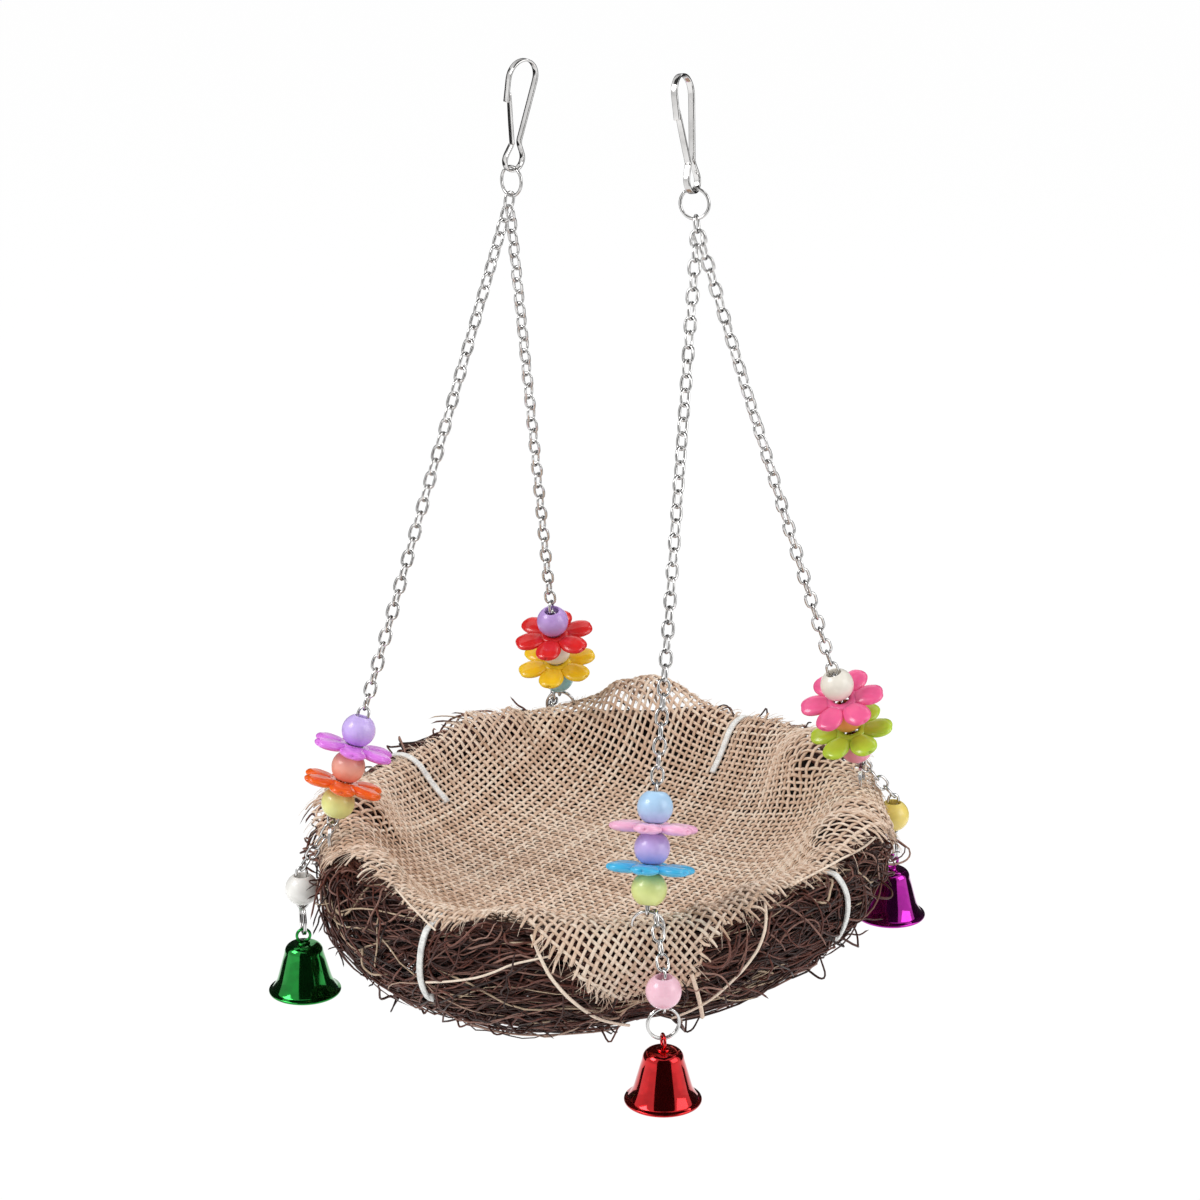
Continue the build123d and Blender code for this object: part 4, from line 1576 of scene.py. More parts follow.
@dataclass
class TwigNest:
    """The bowl wound from vine twigs: a near-black matted heart of painted shade, layers of twigs over it and
    stray ends.
    """

    section: NestSection
    cut: ClothCut
    sunk: float = 4.5 * MM
    samples: int = 15
    seed: int = 5
    into_bowl: float = 5.0 * MM
    onto_base: float = 8.0 * MM
    rim_band: Pair = (4.0 * MM, 11.0 * MM)
    flow: tuple[Triple, ...] = ((11.0, 2.0, 1.0), (8.0, 5.0, 0.0))
    weave: Pair = (0.05, 0.4)
    weave_count: Pair = (0.7, 2.6)
    waver: Pair = (0.2 * MM, 1.1 * MM)
    waver_count: Pair = (0.8, 2.4)
    arched: float = 0.4
    peeled: float = 0.03
    palest: float = 0.92
    bead_room: Pair = (0.5 * MM, 12.0 * MM)
    bead_clear: Pair = (0.07, 0.19)
    tie_room: Pair = (0.9 * MM, 14.0 * MM)
    tie_clear: Pair = (0.022, 0.09)
    cloth_edge: Pair = (-1.0 * MM, 5.0 * MM)
    under_cloth: float = -0.7 * MM
    base: BaseLay = BaseLay()
    layers: dict[str, TwigLay] = field(
        default_factory=lambda: {
            # The shades paint shade by layer: the deep twigs near-black, the wound twigs and stray ends darker,
            # the crossing twigs on top lighter.
            "deep_twigs": TwigLay(
                1000, (40 * MM, 130 * MM), 13.0, (-3.2 * MM, 0.2 * MM), 0.4 * MM, shade=0.3
            ),
            "wound_twigs": TwigLay(
                980, (35 * MM, 130 * MM), 13.0, (-1.2 * MM, 2.2 * MM), 2.0 * MM, 0.8, Girth.FINE, shade=0.75
            ),
            "crossing_twigs": TwigLay(
                300, (18 * MM, 75 * MM), 32.0, (0.4 * MM, 3.0 * MM), 3.5 * MM, 1.4, Girth.FINE, shade=1.1
            ),
            "twig_ends": TwigLay(
                520, (7 * MM, 20 * MM), 48.0, (0.2 * MM, 2.4 * MM), 9.0 * MM, 0.7, shade=0.45
            ),
            "rim_loops": TwigLay(
                150, (14 * MM, 34 * MM), 40.0, (1.0 * MM, 3.0 * MM), 11.0 * MM, 3.4, near_rim=True
            ),
        }
    )

    def heart(self) -> Surface:
        """The section sunk by a few millimetres and turned about the nest's axis.

        Returns:
            The heart.
        """
        _, points, ways = self.section.table()
        sunk = (points - ways * self.sunk)[::-1]
        sunk[[0, -1], 0] = 0.0
        surface = lathe(sunk, 120)
        return Surface(self.section.world(surface.points), surface.faces)

    def taper(self, radius: Points) -> Points:
        """A radius along each twig: thinner towards one end and falling to nothing at both.

        The last fourteenth of the length at each end follows a square root, which rounds it off.

        Args:
            radius: The full radius of each twig.

        Returns:
            The radius along each.
        """
        share = np.linspace(0.0, 1.0, self.samples)[None, :]
        ends = np.clip(np.minimum(share, 1.0 - share) * 14.0, 0.0, 1.0) ** 0.5
        return radius * ends * (1.0 - 0.35 * share)

    @staticmethod
    def room(gap: Points, rises: Pair, clear: Pair) -> Points:
        """The most that a twig may rise: the first rise, growing by the second as the gap clears."""
        return rises[0] + rises[1] * ease(np.abs(gap), *clear)

    def tucked(self, angle: Points, run: Points, rise: Points) -> Points:
        """Hold twigs down under the cloth, under the ties, and where a bead hangs before them.

        Args:
            angle: The angle round the nest.
            run: The running length along the section.
            rise: The lift that the twig would have.

        Returns:
            The lift that it gets.
        """
        off_corner = gap_to_nearest(angle, Corner.RIGHT.value)
        off_tie = gap_to_nearest(angle, TIE_DEGREES[0])
        free = np.minimum(rise, self.room(off_corner, self.bead_room, self.bead_clear))
        free = np.minimum(free, self.room(off_tie, self.tie_room, self.tie_clear))
        bare = ease(run - self.cut.edge(angle), *self.cloth_edge)
        return bare * free + (1.0 - bare) * np.minimum(free, self.under_cloth)

    def wind(self, chance: np.random.Generator, lay: TwigLay) -> Surface:
        """Twigs that wander over the nest's surface.

        A twig's heading follows a slow flow round the nest, and turns by a steady bend and a sine. Its
        cosine adds up to the way round the nest and its sine to the way along the section. The lift
        wavers by another sine, and either the middle or one end stands off.

        Args:
            chance: The source of chance.
            lay: The layer's numbers.

        Returns:
            The twigs as one surface.
        """
        draws = Draws(chance, lay.count)
        share = np.linspace(0.0, 1.0, self.samples)[None, :]
        middle = self.samples // 2
        marks = self.section.marks()
        around = draws.even(0.0, TURN)
        start = draws.even(marks[1] + self.into_bowl, marks[3] + self.onto_base)
        if lay.near_rim:
            start = self.cut.edge(around) + draws.even(*self.rim_band)
        flow = sum(size * np.sin(count * around + begin) for size, count, begin in self.flow)
        heading = np.radians(flow + draws.about(0.0, lay.slant))
        heading = heading + draws.even(-lay.bend, lay.bend) * (share - 0.5)
        heading = heading + draws.waves(self.weave, self.weave_count, share)
        step = draws.even(*lay.length) / (self.samples - 1)
        level = np.cumsum(np.cos(heading) * step, axis=1)
        slope = np.cumsum(np.sin(heading) * step, axis=1)
        girth, _ = self.section.flat_spot(start, 0.0)
        angle = around + (level - level[:, middle, None]) / girth
        run = start + slope - slope[:, middle, None]
        waver = draws.waves(self.waver, self.waver_count, share)
        form = np.where(draws.even(0.0, 1.0) < self.arched, np.sin(np.pi * share), share**2)
        rise = draws.even(*lay.lift) + waver + form * draws.even(0.1, 1.0) ** 1.6 * lay.loose
        rise = self.tucked(angle, run, rise)
        radius = self.taper(draws.even(*lay.girth.value))
        # The layer's shade scales the tints: painted shade, darker for deeper layers.
        tint = np.clip(draws.mostly_low(1.0, 1.5) * lay.shade, 0.0, self.palest)
        tint = np.where(draws.even(0.0, 1.0) < self.peeled, 1.0, tint)
        paths = self.section.spot(angle, run, rise)
        return strands(paths, self.section.facing(angle, run), radius, radius, 5, tint=tint)

    def chords(self, chance: np.random.Generator) -> Surface:
        """Twigs across the base: slightly bowed chords of the base circle, about its level.

        Args:
            chance: The source of chance.

        Returns:
            All of them as one surface.
        """
        base = self.base
        draws = Draws(chance, base.count)
        share = np.linspace(-1.0, 1.0, self.samples)[None, :]
        way = draws.even(0.0, TURN)
        off = draws.even(-base.off_middle, base.off_middle)
        half = np.sqrt(base.circle**2 - off**2) * draws.even(base.shortest, 1.0)
        first = half * share
        second = off + draws.even(-base.bow, base.bow) * (1.0 - share**2)
        height = -self.section.height - self.section.sag - draws.even(*base.depth)
        height = height + base.edge_rise * ease(np.hypot(first, second), *base.edge)
        own = np.stack(
            [
                first * np.cos(way) - second * np.sin(way),
                first * np.sin(way) + second * np.cos(way),
                height + base.waver * np.sin(3.0 * share + way),
            ],
            axis=-1,
        )
        thick = self.taper(draws.even(*Girth.BASE.value))
        # The base's shade scales the tints: painted shade under the nest.
        tint = draws.mostly_low(2.0, 3.0) * base.shade
        return strands(self.section.world(own), UP, thick, thick, 5, tint=tint)

    def build(self) -> Piece:
        """Make the heart and the twigs over it.

        Returns:
            The heart, which the liner rests on.
        """
        chance = np.random.default_rng(self.seed)
        heart = self.heart().show("nest_heart", weld=True)
        dress(heart, NestHeart().material())
        stand_in(heart, "nest_bowl")
        bark = VineBark().material()
        layers = {name: self.wind(chance, lay) for name, lay in self.layers.items()}
        layers["base_twigs"] = self.chords(chance)
        for name, surface in layers.items():
            piece = surface.show(name, weld=True)
            dress(piece, bark)
            follow(piece, "nest")
        return heart


@dataclass(frozen=True)
class Fold:
    """A fold of the cloth that runs outwards: where it is, how broad and how high."""

    angle: float
    spread: float
    height: float
    start: float = 70.0 * MM
    growth: float = 40.0 * MM

    def rise(self, angle: Points, run: Points) -> Points:
        """The height times a bell curve across the fold, growing outwards along it."""
        across = bell(gap_to(angle, self.angle), np.radians(self.spread))
        return self.height * across * ease(run, self.start, self.start + self.growth)


@dataclass(frozen=True)
class ClothLie:
    """How the cloth lies on the nest: off the twigs, rippled, folded, held down and stood up."""

    section: NestSection
    cut: ClothCut
    off_twigs: float = 1.0 * MM
    slack: float = 0.9 * MM
    slack_from: Pair = (40.0 * MM, 110.0 * MM)
    ripples: tuple[tuple[float, float, float, float], ...] = (
        (0.7 * MM, 5.0, 0.0, 1.1),
        (0.6 * MM, 11.0, 30.0, 0.4),
    )
    curl: float = 1.3 * MM
    curl_change: float = 1.2 * MM
    curl_edge: Pair = (-10.0 * MM, 2.0 * MM)
    tie_hold: float = 0.9
    tie_half: float = 0.06
    tie_from: Pair = (70.0 * MM, 85.0 * MM)
    bead_half: float = 0.12
    bead_from: Pair = (6.0 * MM, 14.0 * MM)
    pressed: float = 0.3 * MM
    peak_at: float = 114.0
    peak_half: float = 0.2
    peak_height: float = 11.0 * MM
    peak_from: float = 82.0 * MM
    peak_falls: float = 0.8
    peak_folds: Pair = (1.0 * MM, 13.0 * MM)
    corner_fold: float = 13.0
    own_folds: tuple[Fold, ...] = (
        Fold(18.0, 7.0, 6.5 * MM),
        Fold(64.0, 8.0, 8.0 * MM),
        Fold(110.0, 11.0, 4.0 * MM),
        Fold(158.0, 6.0, 3.5 * MM),
        Fold(206.0, 8.0, 5.5 * MM),
        Fold(243.0, 7.0, 5.0 * MM),
        Fold(290.0, 8.0, 3.5 * MM),
        Fold(340.0, 7.0, 4.0 * MM),
    )

    def folds(self, angle: Points, run: Points) -> Points:
        """The lift of all the folds: two beside each corner, and those of this cloth's own lie.

        Args:
            angle: The angle round the nest.
            run: The running length along the section.

        Returns:
            The lift.
        """
        beside = [
            Fold(corner.value + turn, 2.6, 2.4 * MM)
            for corner in Corner
            for turn in (-self.corner_fold, self.corner_fold)
        ]
        return sum(fold.rise(angle, run) for fold in (*beside, *self.own_folds))

    def lift(self, angle: Points, run: Points) -> Points:
        """How far the cloth lies off its place on the twigs.

        The slack with its ripples, each a sine of the angle and the running length, grows outwards. To it
        come the folds and the curl of the cut edge. The ties and the front bead's bell curve hold it down.

        Args:
            angle: The angle round the nest.
            run: The running length from the nest's axis.

        Returns:
            The lift along the facing way.
        """
        ripple = sum(
            height * np.sin(waves * angle + outwards * run + start)
            for height, waves, outwards, start in self.ripples
        )
        curl = ease(run - self.cut.edge(angle), *self.curl_edge)
        lift = ease(run, *self.slack_from) * (self.slack + ripple) + self.folds(angle, run)
        lift = lift + curl * (self.curl + self.curl_change * np.sin(9.0 * angle + 0.6))
        tied = bell(gap_to_nearest(angle, TIE_DEGREES[0]), self.tie_half) * ease(run, *self.tie_from)
        lift = lift * (1.0 - self.tie_hold * tied)
        under_bead = bell(gap_to(angle, Corner.FRONT.value), self.bead_half)
        under_bead = under_bead * ease(run - self.section.crest(), *self.bead_from)
        return np.maximum(lift * (1.0 - under_bead) - self.pressed * under_bead, -self.pressed)

    def drape(self, across: Points, along: Points, rise: Points) -> Points:
        """Carry points of the flat square onto the nest.

        A point keeps its angle, and its distance from the nest's axis as running length over the bowl
        and rim. At the back the cloth stands up in a peak and folds over behind.

        Args:
            across: The first coordinate on the flat cloth.
            along: The second.
            rise: How far a thread lies above the cloth's middle.

        Returns:
            The draped points.
        """
        run = np.hypot(across, along)
        angle = np.arctan2(along, across)
        points = self.section.spot(angle, run, self.off_twigs + self.lift(angle, run) + rise)
        crest = self.section.crest()
        peak = ease(run, self.peak_from, crest) - self.peak_falls * ease(run - crest, *self.peak_folds)
        stand = bell(gap_to(angle, self.peak_at), self.peak_half)
        points[..., 2] += stand * peak * self.peak_height
        return points

    def facing(self, across: Points, along: Points) -> Points:
        """The way that the draped cloth faces, taken from the nest below it."""
        return self.section.facing(np.arctan2(along, across), np.hypot(across, along))


@dataclass(frozen=True)
class Weave:
    """The yarns of the cloth: their spacing, their sizes and how unevenly they lie."""

    pitch: float = 2.75 * MM
    crimp: float = 0.36 * MM
    half_wide: Pair = (0.72 * MM, 0.98 * MM)
    half_thick: float = 0.34 * MM
    slub: float = 0.12
    slub_step: float = 14.0 * MM
    stray: float = 0.10 * MM
    wander: float = 0.16 * MM
    wander_step: float = 9.0 * MM
    tail: float = 5.0 * MM
    tail_ease: float = 3.0 * MM
    tail_aside: float = 1.3 * MM
    tail_up: float = 0.7 * MM
    tone: Pair = (0.52, 0.24)
    tone_change: float = 0.1
    tone_step: float = 31.0 * MM


@dataclass(frozen=True)
class Fray:
    """The fibres along the cut edge: how many, how long, how high and how thin."""

    count: int = 900
    inset: float = 3.0 * MM
    length: float = 7.0 * MM
    aside: float = 0.022
    rise: Pair = (-0.4 * MM, 2.4 * MM)
    thin: Pair = (0.09 * MM, 0.22 * MM)
    tone: Pair = (0.4, 1.0)


@dataclass(frozen=True)
class LooseYarn:
    """A yarn pulled from the cloth: its tone, half its width and its spots on the nest.

    Each spot is degrees round the nest, millimetres of running length past the rim's crest and
    millimetres of lift, which keeps it on the twigs.
    """

    tone: float
    half_wide: float
    spots: tuple[Triple, ...]


@dataclass
class BurlapLiner:
    """A square of open jute cloth laid in the bowl, woven thread by thread, its corners over the rim."""

    lie: ClothLie
    weave: Weave = Weave()
    hair: Fray = Fray()
    shortest: float = 5.0 * MM
    short_span: float = 70.0 * MM
    margin: float = 4.0 * MM
    seed: int = 23
    knot_width: float = 0.17
    loose_yarns: tuple[LooseYarn, ...] = (
        LooseYarn(
            1.0, 0.7 * MM, ((-68, 6, 4.4), (-65, 14, 5.4), (-61, 24, 5.8), (-56, 34, 5.6), (-49, 42, 4.8))
        ),
        LooseYarn(
            0.9, 0.6 * MM, ((-20, 5, 4.2), (-23, 13, 5.2), (-28, 23, 5.6), (-34, 33, 5.4), (-42, 42, 4.4))
        ),
        LooseYarn(
            1.0, 0.46 * MM, ((-89, 26, 3.4), (-83, 23, 4.4), (-77, 20, 4.6), (-71, 15, 4.4), (-63, 12, 3.8))
        ),
        LooseYarn(
            0.7, 0.9 * MM, ((-38, 21, 2.6), (-37, 28, 4.2), (-36, 35, 4.8), (-35, 41, 4.8), (-34, 46, 4.4))
        ),
        LooseYarn(
            0.9, 0.4 * MM, ((-104, 1, 3.0), (-100, 3, 4.0), (-96, 5, 4.2), (-92, 7, 4.2), (-87, 10, 3.6))
        ),
        LooseYarn(
            0.9, 0.5 * MM, ((-14, 3, 3.2), (-4, 4, 4.2), (4, 5, 4.2), (11, 7, 4.0), (20, 9, 3.2))
        ),
        LooseYarn(
            0.6, 0.5 * MM, ((150, 8, 3.2), (158, 14, 4.0), (168, 19, 4.2), (176, 26, 4.0), (186, 30, 3.6))
        ),
        LooseYarn(
            0.6, 0.5 * MM, ((60, 8, 3.2), (66, 15, 4.0), (74, 22, 4.2), (84, 26, 4.0), (92, 32, 3.6))
        ),
    )

    def spans(self, lay: Lay) -> Points:
        """Where the cut leaves each thread of a set: its number, start and end, one row each.

        A thread that leaves the cloth and comes back is cut in two, and the shortest bits are left out.

        Args:
            lay: Which set of threads.

        Returns:
            The rows.
        """
        cut, pitch = self.lie.cut, self.weave.pitch
        count = int((cut.reach - self.margin) / pitch)
        whole = np.linspace(-cut.reach, cut.reach, 700)
        rows = []
        for order in range(-count, count + 1):
            place = np.full_like(whole, order * pitch)
            across, along = (whole, place) if lay is Lay.WEFT else (place, whole)
            kept = np.hypot(across, along) <= cut.edge(np.arctan2(along, across))
            turns = np.diff(np.concatenate([[0], kept.astype(int), [0]]))
            ends = zip(np.flatnonzero(turns == 1), np.flatnonzero(turns == -1) - 1)
            rows += [(order, whole[low], whole[high]) for low, high in ends]
        spans = np.array(rows, float)
        return spans[spans[:, 2] - spans[:, 1] > self.shortest]

    def threads(self, chance: np.random.Generator, lay: Lay) -> Surface:
        """One set of parallel threads, the whole ones and the short ones at the corners.

        Args:
            chance: The source of chance.
            lay: Which set of threads.

        Returns:
            All of them as one surface.
        """
        spans = self.spans(lay)
        short = spans[:, 2] - spans[:, 1] < self.short_span
        return Surface.joined(
            self.laid(chance, lay, spans[~short], 260), self.laid(chance, lay, spans[short], 80)
        )

    def laid(self, chance: np.random.Generator, lay: Lay, spans: Points, samples: int) -> Surface:
        """Threads over and under the other set.

        Each thread is a straight line on the flat cloth with a slow sideways wander, and rises and falls
        as a cosine with half a wave to each crossing. Both its ends are loose, by chance lengths.

        Args:
            chance: The source of chance.
            lay: Whether these are the warp, along the cloth, or the weft, across it.
            spans: The threads' numbers, starts and ends.
            samples: How many points there are along each.

        Returns:
            Open tubes for all the threads.
        """
        weave = self.weave
        weft = lay is Lay.WEFT
        draws = Draws(chance, len(spans))
        order, low, high = (spans[:, column, None] for column in range(3))
        place = order * weave.pitch + draws.about(0.0, weave.stray)
        tail = chance.random((2, len(spans), 1)) ** 2 * weave.tail
        start, end = low - tail[0], high + tail[1]
        length = start + (end - start) * np.linspace(0.0, 1.0, samples)[None, :]
        loose = np.clip(np.maximum(low - length, length - high) / weave.tail_ease, 0.0, 1.0)
        wander = weave.wander * np.sin(length / weave.wander_step + draws.even(0.0, TURN))
        side = place + wander + loose * draws.about(0.0, weave.tail_aside)
        over = np.cos(np.pi * (length / weave.pitch + order)) * (-1.0 if weft else 1.0)
        rise = weave.crimp * over * (1.0 - loose) + loose * draws.about(0.0, weave.tail_up)
        across, along = (length, side) if weft else (side, length)
        wide = draws.even(*weave.half_wide)
        wide = wide * (1.0 + weave.slub * np.sin(length / weave.slub_step + draws.even(0.0, TURN)))
        tint = draws.about(*weave.tone) + weave.tone_change * np.sin(length / weave.tone_step)
        return strands(
            self.lie.drape(across, along, rise),
            self.lie.facing(across, along),
            wide * (1.0 - 0.5 * loose),
            weave.half_thick,
            4,
            tint=np.clip(tint, 0.0, 1.0),
        )

    def fray(self, chance: np.random.Generator) -> Surface:
        """Fine fibres that stand out along the cut edge, each bent aside and up by chance.

        Args:
            chance: The source of chance.

        Returns:
            All of them as one surface.
        """
        hair = self.hair
        draws = Draws(chance, hair.count)
        share = np.linspace(0.0, 1.0, 7)[None, :]
        angle = draws.even(0.0, TURN)
        reach = self.lie.cut.edge(angle) - draws.even(0.0, hair.inset)
        reach = reach + chance.random((hair.count, 1)) ** 1.5 * hair.length * share
        angle = angle + draws.about(0.0, hair.aside) * share
        across, along = reach * np.cos(angle), reach * np.sin(angle)
        rise = draws.even(*hair.rise) * share**0.7
        thin = draws.even(*hair.thin) * (1.0 - 0.6 * share)
        tint = draws.even(*hair.tone)
        paths = self.lie.drape(across, along, rise)
        return strands(paths, self.lie.facing(across, along), thin, thin, 3, tint=tint)

    def yarns(self) -> Surface:
        """Loose yarns pulled from the cloth that trail over the twigs outside.

        Each is a smooth line: a mean of its spots, weighted by bell curves along it.

        Returns:
            All of them as one surface.
        """
        section = self.lie.section
        spots = np.array([yarn.spots for yarn in self.loose_yarns], float)
        knots = np.linspace(0.0, 1.0, spots.shape[1])
        weight = bell(np.linspace(0.0, 1.0, 40)[:, None] - knots[None, :], self.knot_width)
        weight = weight / weight.sum(axis=1, keepdims=True)
        smooth = np.einsum("sk,rkc->rsc", weight, spots)
        angle, run = np.radians(smooth[..., 0]), section.crest() + smooth[..., 1] * MM
        paths = section.spot(angle, run, smooth[..., 2] * MM)
        tint = np.array([yarn.tone for yarn in self.loose_yarns])[:, None]
        wide = np.array([yarn.half_wide for yarn in self.loose_yarns])[:, None]
        return strands(paths, section.facing(angle, run), wide, wide * 0.8, 6, tint=tint)

    def build(self, heart: Piece) -> None:
        """Weave the cloth and add its fibres and loose yarns.

        Args:
            heart: The piece that the cloth rests on; not used.
        """
        chance = np.random.default_rng(self.seed)
        warp = self.threads(chance, Lay.WARP).show("burlap_warp")
        weft = self.threads(chance, Lay.WEFT).show("burlap_weft")
        hair = self.fray(chance).show("burlap_fray")
        loose = self.yarns().show("burlap_yarns")
        for piece, lay in ((warp, Lay.WARP), (weft, Lay.WEFT), (hair, Lay.LOOSE), (loose, Lay.LOOSE)):
            dress(piece, JuteYarn(lay).material())
        stand_in(warp, "burlap_liner")
        for piece in (weft, hair, loose):
            follow(piece, "nest")


@dataclass
class CableTies:
    """Four cable ties round the rim and through the wall."""

    section: NestSection
    cut: ClothCut
    under_cloth: tuple[float, ...] = (0.0, 270.0)
    sunk: float = 2.3 * MM
    cloth_edge: Pair = (-1.0 * MM, 4.0 * MM)
    width: float = 2.7 * MM
    thick: float = 1.2 * MM
    squareness: float = 0.5
    lift: float = 2.4 * MM
    inner_radius: float = 82.0 * MM
    outer_angle: float = 34.0
    head: Triple = (3.2 * MM, 4.6 * MM, 5.0 * MM)
    head_squareness: float = 0.35

    def foot(self) -> float:
        """The running length at which the strap goes into the wall."""
        wall = self.section.height - self.section.bundle
        return self.section.marks()[2] + wall * np.radians(self.outer_angle)

    def loop(self, degrees: float) -> Points:
        """The strap's line: from inside the bowl over the rim, down the wall and straight back.

        Args:
            degrees: The tie's angle round the nest.

        Returns:
            Points along a closed line.
        """
        length, points, _ = self.section.table()
        top = int(np.argmax(points[:, 1]))
        start = np.interp(self.inner_radius, points[:top, 0], length[:top])
        run = np.linspace(start, self.foot(), 80)
        around = np.full_like(run, np.radians(degrees))
        lift = np.full_like(run, self.lift)
        if degrees in self.under_cloth:
            lift = lift - self.sunk * (1.0 - ease(run - self.cut.edge(around), *self.cloth_edge))
        return even_steps(self.section.spot(around, run, lift), 90, closed=True)

    def strap(self, degrees: float) -> Surface:
        """A flat strap with round edges along the loop, with its running length kept on it.

        Args:
            degrees: The tie's angle round the nest.

        Returns:
            The strap.
        """
        path = self.loop(degrees)
        run = run_along(path)[None]
        side = self.beside(degrees) @ turned(0, self.section.tilt).T
        thick, wide = self.thick / 2.0, self.width / 2.0
        return strands(path[None], side, thick, wide, 16, closed=True, power=self.squareness, run=run)

    def beside(self, degrees: float) -> Points:
        """The level way round the nest at a tie."""
        return np.array([-np.sin(np.radians(degrees)), np.cos(np.radians(degrees)), 0.0])

    def lock(self, degrees: float) -> Surface:
        """The locking head: a box with round corners, from powers of the sines of two angles.

        Args:
            degrees: The tie's angle round the nest.

        Returns:
            The head.
        """
        first = np.linspace(0.0, np.pi, 17)[:, None]
        second = TURN * np.arange(24)[None, :] / 24
        waves = (np.sin(first), np.cos(first), np.sin(second), np.cos(second))
        out, up, aside, ahead = (squared_off(wave, self.head_squareness) for wave in waves)
        ball = np.stack([out * ahead, out * aside, -up * np.ones_like(second)], axis=-1)
        around, run = np.full(1, np.radians(degrees)), np.full(1, self.foot())
        outwards = self.section.facing(around, run)[0]
        centre = self.section.spot(around, run, self.lift - self.head[0] / 2.0)[0]
        place = Place.along(centre, np.cross(outwards, self.beside(degrees)), outwards)
        return Surface.grid(ball * np.array(self.head) / 2.0, run=np.zeros(1)).at(place)

    def build(self) -> None:
        """Set the four ties on the nest."""
        ties = [make(degrees) for degrees in TIE_DEGREES for make in (self.strap, self.lock)]
        piece = Surface.joined(*ties).show("nylon_ties", weld=True)
        dress(piece, ClearNylon().material())
        stand_in(piece, "cable_ties")


@dataclass(frozen=True)
class Lamp:
    """A square soft lamp: where it stands, its side and its power."""

    spot: Triple
    side: float
    power: float


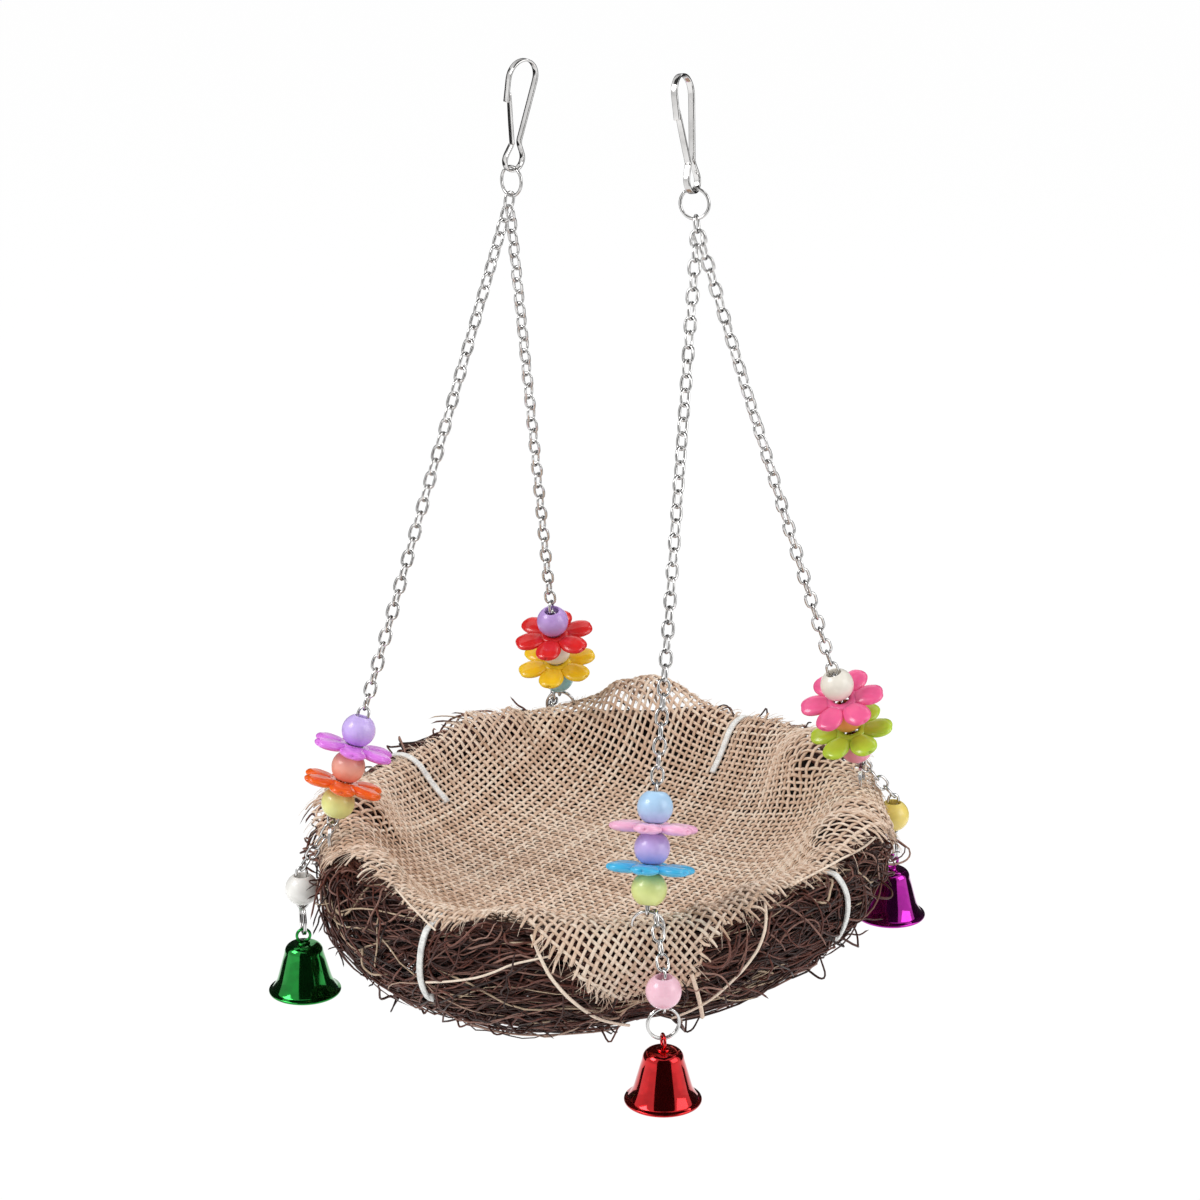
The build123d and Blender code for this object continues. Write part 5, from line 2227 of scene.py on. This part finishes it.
@dataclass
class Studio:
    """A pale floor, soft lamps, dark panels and the camera."""

    azimuth: float = 35.718
    elevation: float = 17.01
    distance: float = 1.2034
    target: Triple = (0.0, 0.0, -0.200)
    lens: float = 91.19
    sensor: float = 36.0
    far_end: float = 100.0
    shift: Pair = (-0.00088, -0.01998)
    ambient: float = 0.62
    floor_drop: float = 0.16
    floor_reach: float = 30.0
    floor_tone: Colour = (0.92, 0.92, 0.92)
    floor_glow: float = 1.03
    glow_share: float = 0.92
    panel_reach: float = 0.8
    panel_top: float = 0.55
    panel_gap: float = 1.0 * MM
    panels: tuple[tuple[str, float, float], ...] = (
        ("flag_camera", -28.0, 38.0),
        ("flag_left", -166.0, -98.0),
        ("flag_right", 98.0, 166.0),
    )
    roof_height: float = 1.0
    roof_reach: float = 0.7
    panel_tone: Colour = (0.02, 0.02, 0.02)
    lamps: dict[str, Lamp] = field(
        default_factory=lambda: {
            "key_lamp": Lamp((-0.9, -1.3, 1.0), 0.9, 18.0),
            "fill_lamp": Lamp((1.7, 0.4, 0.5), 1.2, 10.0),
            "back_lamp": Lamp((0.3, 1.5, 0.9), 0.9, 8.0),
        }
    )

    def stand(self, name: str, data: bpy.types.ID, spot: Vector, way: Vector) -> Piece:
        """Set up a camera or a lamp that looks along a way.

        Args:
            name: Its name.
            data: The camera's or lamp's data.
            spot: Where it stands.
            way: The way it looks.

        Returns:
            The new object.
        """
        piece = bpy.data.objects.new(name, data)
        piece.location = spot
        piece.rotation_euler = way.to_track_quat("-Z", "Y").to_euler()
        bpy.context.scene.collection.objects.link(piece)
        return piece

    def camera(self) -> None:
        """A camera on the photograph's line of sight."""
        turn, tip = np.radians(self.azimuth), np.radians(self.elevation)
        away = np.array([np.sin(turn) * np.cos(tip), -np.cos(turn) * np.cos(tip), np.sin(tip)])
        data = bpy.data.cameras.new("camera")
        data.lens = self.lens
        data.sensor_width = self.sensor
        data.shift_x, data.shift_y = self.shift
        data.clip_end = self.far_end
        spot = Vector(np.array(self.target) + away * self.distance)
        bpy.context.scene.camera = self.stand("camera", data, spot, Vector(-away))

    def light(self, name: str, lamp: Lamp) -> None:
        """Set up a lamp that looks at the middle of the object.

        Args:
            name: Its name.
            lamp: The lamp.
        """
        data = bpy.data.lights.new(name, "AREA")
        data.size = lamp.side
        data.energy = lamp.power
        self.stand(name, data, Vector(lamp.spot), Vector(self.target) - Vector(lamp.spot))

    def seen(self, bench: NodeBench) -> Socket:
        """1 for rays that show the backdrop: straight from the camera, off gloss or through glass.

        Args:
            bench: The nodes to lay it among.

        Returns:
            The value's socket.
        """
        path = bench.put("ShaderNodeLightPath", {})
        total = path.outputs["Is Camera Ray"]
        for key in ("Is Glossy Ray", "Is Transmission Ray"):
            total = bench.math("MAXIMUM", total, path.outputs[key])
        return total

    def world(self) -> None:
        """Even white light, and a plain pale backdrop where rays show it."""
        world = bpy.data.worlds.new("studio_world")
        bpy.context.scene.world = world
        world.use_nodes = True
        world.node_tree.nodes.clear()
        bench = NodeBench(world.node_tree)
        soft = bench.put("ShaderNodeBackground", {"Color": (*WHITE, 1.0), "Strength": self.ambient})
        pale = bench.put("ShaderNodeBackground", {})
        shares = {"Fac": self.seen(bench), 1: soft.outputs[0], 2: pale.outputs[0]}
        mix = bench.put("ShaderNodeMixShader", shares)
        bench.put("ShaderNodeOutputWorld", {"Surface": mix.outputs[0]})

    def floor(self) -> None:
        """A wide pale floor below the bells that glows a little where rays show it."""
        low = CAD_BOX[0][2] - self.floor_drop
        corners = np.array([[-1.0, -1.0], [1.0, -1.0], [1.0, 1.0], [-1.0, 1.0]]) * self.floor_reach
        points = np.concatenate([corners, np.full((4, 1), low)], axis=1)
        piece = Surface(points, np.array([[0, 1, 2, 3]])).show("studio_floor")
        bench = MaterialBench("pale_floor")
        bench.set(Base_Color=(*self.floor_tone, 1.0), Roughness=0.9, Specular_IOR_Level=0.1)
        glow = bench.put("ShaderNodeEmission", {"Strength": self.floor_glow})
        part = bench.math("MULTIPLY", self.seen(bench), self.glow_share)
        shares = {"Fac": part, 1: bench.shader.outputs[0], 2: glow.outputs[0]}
        mix = bench.put("ShaderNodeMixShader", shares)
        bench.fill(bench.tree.nodes["Material Output"], {"Surface": mix.outputs[0]})
        dress(piece, bench.material)

    def flag(self, name: str, points: Points) -> None:
        """A near-black panel that only bright metal sees, as a photographer hangs one beside the set.

        Args:
            name: The panel's name.
            points: One grid of points.
        """
        piece = Surface.grid(points, wrap_columns=False).show(name)
        bench = MaterialBench(name)
        bench.set(Base_Color=(*self.panel_tone, 1.0), Roughness=1.0)
        dress(piece, bench.material)
        piece.visible_camera = piece.visible_diffuse = False
        piece.visible_shadow = piece.visible_transmission = False

    def flags(self) -> None:
        """Upright panels round the object, by degrees from the camera's way, and one overhead."""
        heights = np.array([CAD_BOX[0][2] - self.floor_drop + self.panel_gap, self.panel_top])
        for name, start, end in self.panels:
            degrees = self.azimuth + np.linspace(start, end, 13)
            turn, height = np.meshgrid(np.radians(degrees), heights)
            reach = self.panel_reach
            self.flag(name, np.stack([np.sin(turn) * reach, -np.cos(turn) * reach, height], axis=-1))
        across = np.array([-self.roof_reach, self.roof_reach])
        first, second = np.meshgrid(across, across)
        self.flag("flag_overhead", np.stack([first, second, np.full((2, 2), self.roof_height)], axis=-1))

    def build(self) -> None:
        """Set up the world, the floor, the panels, the lamps and the camera."""
        bpy.context.scene.view_settings.view_transform = "Standard"
        self.world()
        self.floor()
        self.flags()
        for name, lamp in self.lamps.items():
            self.light(name, lamp)
        self.camera()


def main() -> None:
    """Build the object from the hooks down, then the studio."""
    logging.basicConfig(level=logging.INFO, format="%(name)s: %(message)s")
    nickel = BrightNickel().material()
    Hangers().build(nickel)
    Chains().build(nickel)
    Stacks().build()
    Bells().build(nickel)
    section = NestSection()
    cut = ClothCut(section)
    heart = TwigNest(section, cut).build()
    BurlapLiner(ClothLie(section, cut)).build(heart)
    CableTies(section, cut).build()
    Studio().build()


if __name__ == "__main__":
    main()
